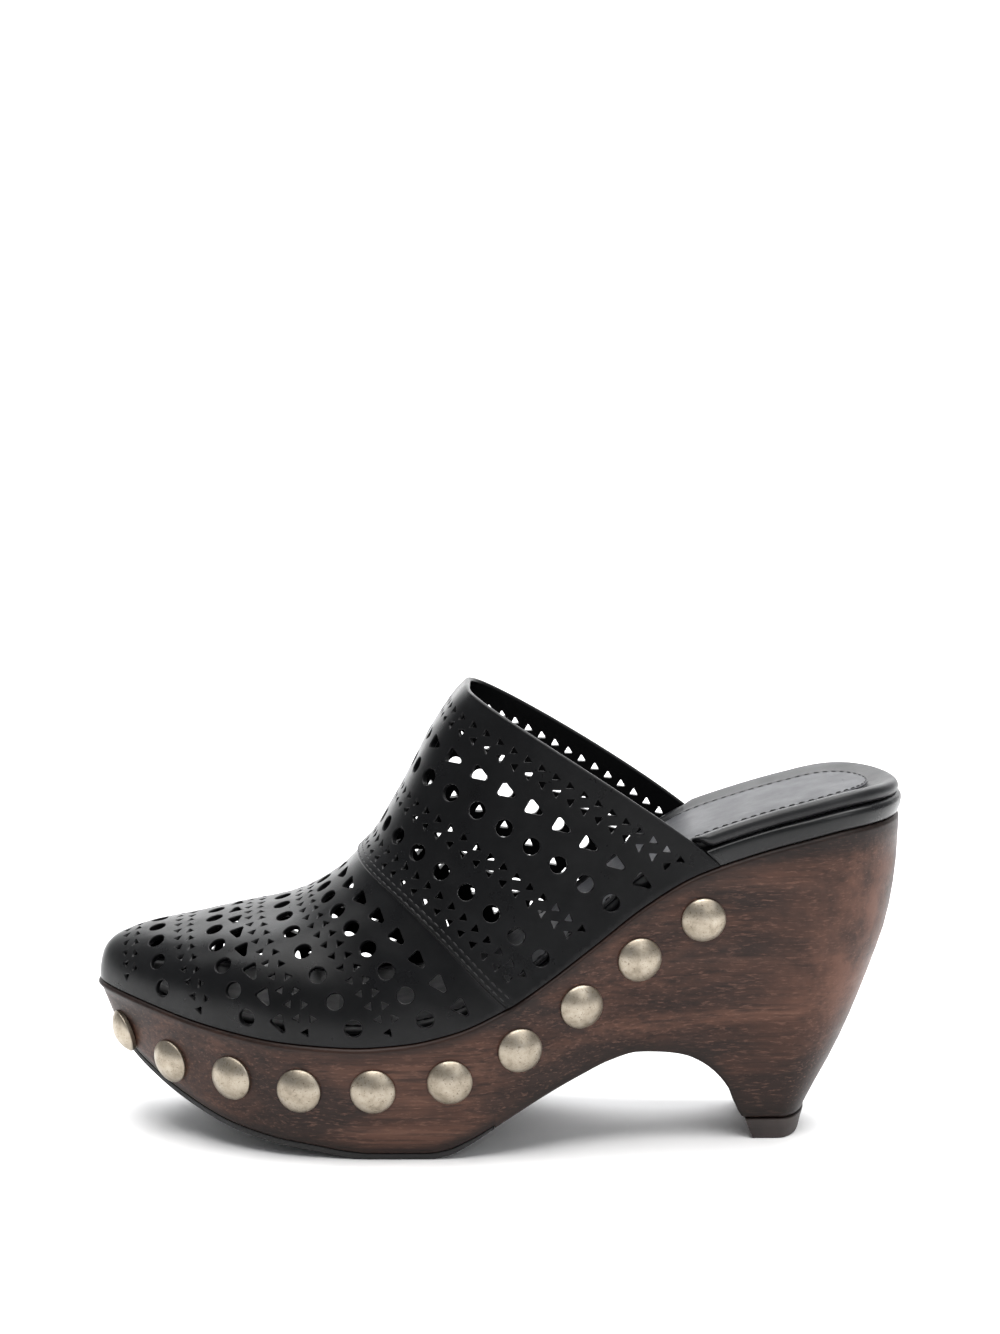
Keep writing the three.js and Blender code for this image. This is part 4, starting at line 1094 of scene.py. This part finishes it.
def sock_panel():
    ats = stations(SOCK_START, 1)
    ats = np.concatenate([ats[ats < ROUND_START], np.linspace(ROUND_START, 1, 60)])
    # inset and lift: a rounded edge, a groove under the stitches, a faint crown
    profile = [
        (0.35, -0.7), (0.2, -0.35), (0.4, -0.05), (0.9, 0.12), (1.6, 0.1), (2.6, 0.2), (4.5, 0.3), (7.5, 0.3)]
    outer, inner = (
        np.stack([sock_surface(sign, ats, SOCK_INSET + inset, lift) for inset, lift in profile], 1)
        for sign in (-1, 1))
    middle = [lerp(outer[:, -1], inner[:, -1], t) - np.array([0, 0, dish])
              for t, dish in ((0.25, 0.2), (0.5, 0.3), (0.75, 0.2))]
    points = np.concatenate([outer, np.stack(middle, 1), inner[:, ::-1]], 1)
    # near the back the rows cross the middle, so they stop at the panel's own end
    end = edge_point(1, np.array([1.0]), SOCK_INSET + 0.3, 0)[0, 0]
    points[..., 0] = np.minimum(points[..., 0], end)
    verts, faces, _ = rings(points, closed=False)
    if face_normals(verts, faces)[:, 2].mean() < 0:
        faces = [f[::-1] for f in faces]
    return make("sock_leather_panel", verts, faces, sock_leather, ["sock_panel"],
                attributes=shade(verts, 0.48, 0.62))


def sock_stitches():
    straight, bend = np.linspace(SOCK_START + 0.01, ROUND_START, 200), np.linspace(ROUND_START, 1, 120)
    ats = np.concatenate([straight, bend[1:]])
    outer, inner = (sock_surface(sign, ats, SOCK_INSET + 0.75, 0.14) for sign in (-1, 1))
    path = resample(np.vstack([outer, inner[::-1]]), 3.0)
    ahead = unit(path[1:] - path[:-1])
    ups = unit(np.cross(ahead, unit(np.cross([0, 0, 1.0], ahead))))
    ups *= np.sign(ups[:, 2:3])
    return stitches("stitches_sock", (path[:-1] + path[1:]) / 2, ahead, ups, 2.1, 0.24)


def side_band():
    ats = stations(BAND_START, 1)
    swell = BAND_BULGE * lerp(0.35, 1, ramp(ats, 0.8, 0.95))
    lean = BAND_LEAN * BAND_SEEN / LENGTH * (1 - ramp(ats, BAND_START, BAND_START + BAND_FADE / LENGTH))
    # inset, share of the swell outward, share of the height
    profile = [
        (0.3, 0, 0.01), (0, 0.15, 0.07), (0, 0.4, 0.17), (0, 0.68, 0.32), (0, 0.9, 0.5), (0, 1, 0.65),
        (0, 0.92, 0.78), (0, 0.62, 0.89), (0.1, 0.2, 0.96), (0.5, 0, 0.99), (1.0, 0, 1), (BAND_THICK, 0, 1),
        (BAND_THICK, 0, 0.05)]
    outer, inner = (
        np.stack([edge_point(sign, ats - lean * rise, FOOT_INSET + inset - share * swell, rise * BAND_SEEN)
                  for inset, share, rise in profile], 1)
        for sign in (-1, 1))
    verts, faces, _ = rings(np.concatenate([outer, inner[::-1][1:]], 0))
    size = len(profile)
    for start in (0, len(verts) - size):
        faces += [[start, start + k, start + k + 1] for k in range(1, size - 1)]
    normals = face_normals(verts, outward_faces(verts, faces))
    return make("band_leather_strip", verts, oriented(verts, faces, normals), band_leather,
                ["side_band"])


def stud(name, node, sign, along, down):
    """A domed cap on the wood's side, square to it, with its skirt sunk into the wood's curve."""
    radius = STUD_DIAMETER / 2
    rise = STUD_HEIGHT - STUD_EDGE
    sphere = (radius * radius + rise * rise) / (2 * rise)
    spread = math.asin(radius / sphere)
    centre = sole_point(sign, along, down)
    ds, dd = min(along, radius / LENGTH), radius / centre[2] / 2
    tangent = sole_point(sign, along + ds, down) - sole_point(sign, along - ds, down)
    fall = sole_point(sign, along, down + dd) - sole_point(sign, along, down - dd)
    normal = unit(np.cross(tangent, fall) * sign)
    around = [sole_point(sign, along + a * ds, down + b * dd) for a in (-1, 1) for b in (-1, 0, 1)]
    bulge = max(0.0, *[float(np.dot(point - centre, normal)) for point in around])
    base = centre + normal * (GAP + 0.5 * bulge)
    first = unit(np.cross([0, 0, 1.0], normal))
    second = np.cross(normal, first)
    # radius and height: skirt, edge, dome
    profile = [(radius - 0.35, -bulge - 1), (radius - 0.05, 0), (radius, 0.18), (radius - 0.04, 0.36)]
    profile += [(sphere * math.sin(turn) * 0.995, STUD_HEIGHT - sphere + sphere * math.cos(turn))
                for turn in spread * np.linspace(0.98, 0, 13)[:-1]]
    turn = np.linspace(0, 2 * np.pi, 48, endpoint=False)[:, None]
    circle = np.cos(turn) * first + np.sin(turn) * second
    verts = np.vstack([base + normal * z + circle * r for r, z in profile] + [base + normal * STUD_HEIGHT])
    rows = np.arange(len(verts) - 1).reshape(-1, len(turn))
    faces = joined(rows) + [[a, b, len(verts) - 1] for a, b in zip(rows[-1], np.roll(rows[-1], -1))]
    return make(name, verts, faces, brass_antique, [node])


def studs():
    for side, sign in (("lateral", -1.0), ("medial", 1.0)):
        for number, (along, down) in enumerate(STUDS, 1):
            stud(f"cap_{side}_{number:02d}", f"stud_{side}_{number:02d}", sign, along, down)


# Camera, floor and light
PHOTO_HEIGHT = 1334  # pixels
FOCAL_LENGTH = 3106  # pixels
SENSOR = 36
CAMERA_PLACE = (0.00155, -0.93802, 0.285)
CAMERA_DIP = 8.6  # degrees under the level
FLOOR_REACH = 4.0
BEND_START = 1.0  # distance behind the shoe where the floor bends up
BEND_RADIUS = 0.9
# name, place, target, width and depth, watts, colour
LIGHTS = [
    ("key", (0.15, -0.3, 1.55), (0, 0, 0.05), (1.6, 1.1), 30, (1.0, 0.99, 0.98)),
    ("fill", (0.9, -1.2, 0.9), (0, 0, 0.06), (0.9, 0.9), 5, (0.97, 0.985, 1.0)),
    ("back", (0.1, 1.0, 1.3), (0, 0.2, 0.1), (1.8, 0.8), 20, (0.98, 0.99, 1.0)),
    ("backdrop", (0, 0.3, 1.7), (0, 1.9, 0.8), (2.6, 0.9), 50, (1.0, 1.0, 1.0))]
SKY = (0.95, 0.97, 1.0)
SKY_STRENGTH = 0.28


def camera():
    """The camera at the photograph's own height and distance."""
    data = bpy.data.cameras.new("camera")
    data.sensor_fit = "VERTICAL"
    data.sensor_height = SENSOR
    data.lens = FOCAL_LENGTH / PHOTO_HEIGHT * SENSOR
    data.clip_start = 0.01
    obj = place("camera", data)
    obj.location = CAMERA_PLACE
    obj.rotation_euler = (math.radians(90 - CAMERA_DIP), 0, 0)
    bpy.context.scene.camera = obj


def stage():
    """The floor, which sweeps up behind the shoe."""
    profile = [(-FLOOR_REACH, 0.0), (BEND_START, 0.0)]
    for turn in np.linspace(0, math.pi / 2, 16)[1:]:
        profile.append((BEND_START + BEND_RADIUS * math.sin(turn), BEND_RADIUS * (1 - math.cos(turn))))
    profile.append((BEND_START + BEND_RADIUS, FLOOR_REACH))
    verts = [(x, y, z) for y, z in profile for x in (-FLOOR_REACH, FLOOR_REACH)]
    faces = [(2 * k, 2 * k + 1, 2 * k + 3, 2 * k + 2) for k in range(len(profile) - 1)]
    mesh = bpy.data.meshes.new("floor")
    mesh.from_pydata(verts, [], faces)
    mesh.shade_smooth()
    material, tree, shader = new_material("floor_pale", (0.94, 0.94, 0.94), 0.6)
    feed(tree, shader, {"Specular IOR Level": 0.2})
    mesh.materials.append(material)
    place("floor", mesh)


def area_light(name, spot, target, size, power, color):
    data = bpy.data.lights.new(name, "AREA")
    data.shape = "RECTANGLE"
    data.size, data.size_y = size
    data.energy = power
    data.color = color
    x, y, z = np.array(target, float) - np.array(spot, float)
    obj = place(name, data)
    obj.location = spot
    obj.rotation_euler = (math.atan2(math.hypot(x, y), -z), 0, math.atan2(y, x) - math.pi / 2)


def sky():
    world = bpy.data.worlds.new("studio")
    world.use_nodes = True
    tree = world.node_tree
    feed(tree, tree.nodes["Background"], {"Color": (*SKY, 1), "Strength": SKY_STRENGTH})
    bpy.context.scene.world = world
    bpy.context.scene.view_settings.view_transform = "Standard"


camera()
wood_sole()
outsole()
heel_lift()
upper()
seam_stitches()
footbed()
sock_panel()
sock_stitches()
side_band()
studs()
stage()
for light in LIGHTS:
    area_light(*light)
sky()
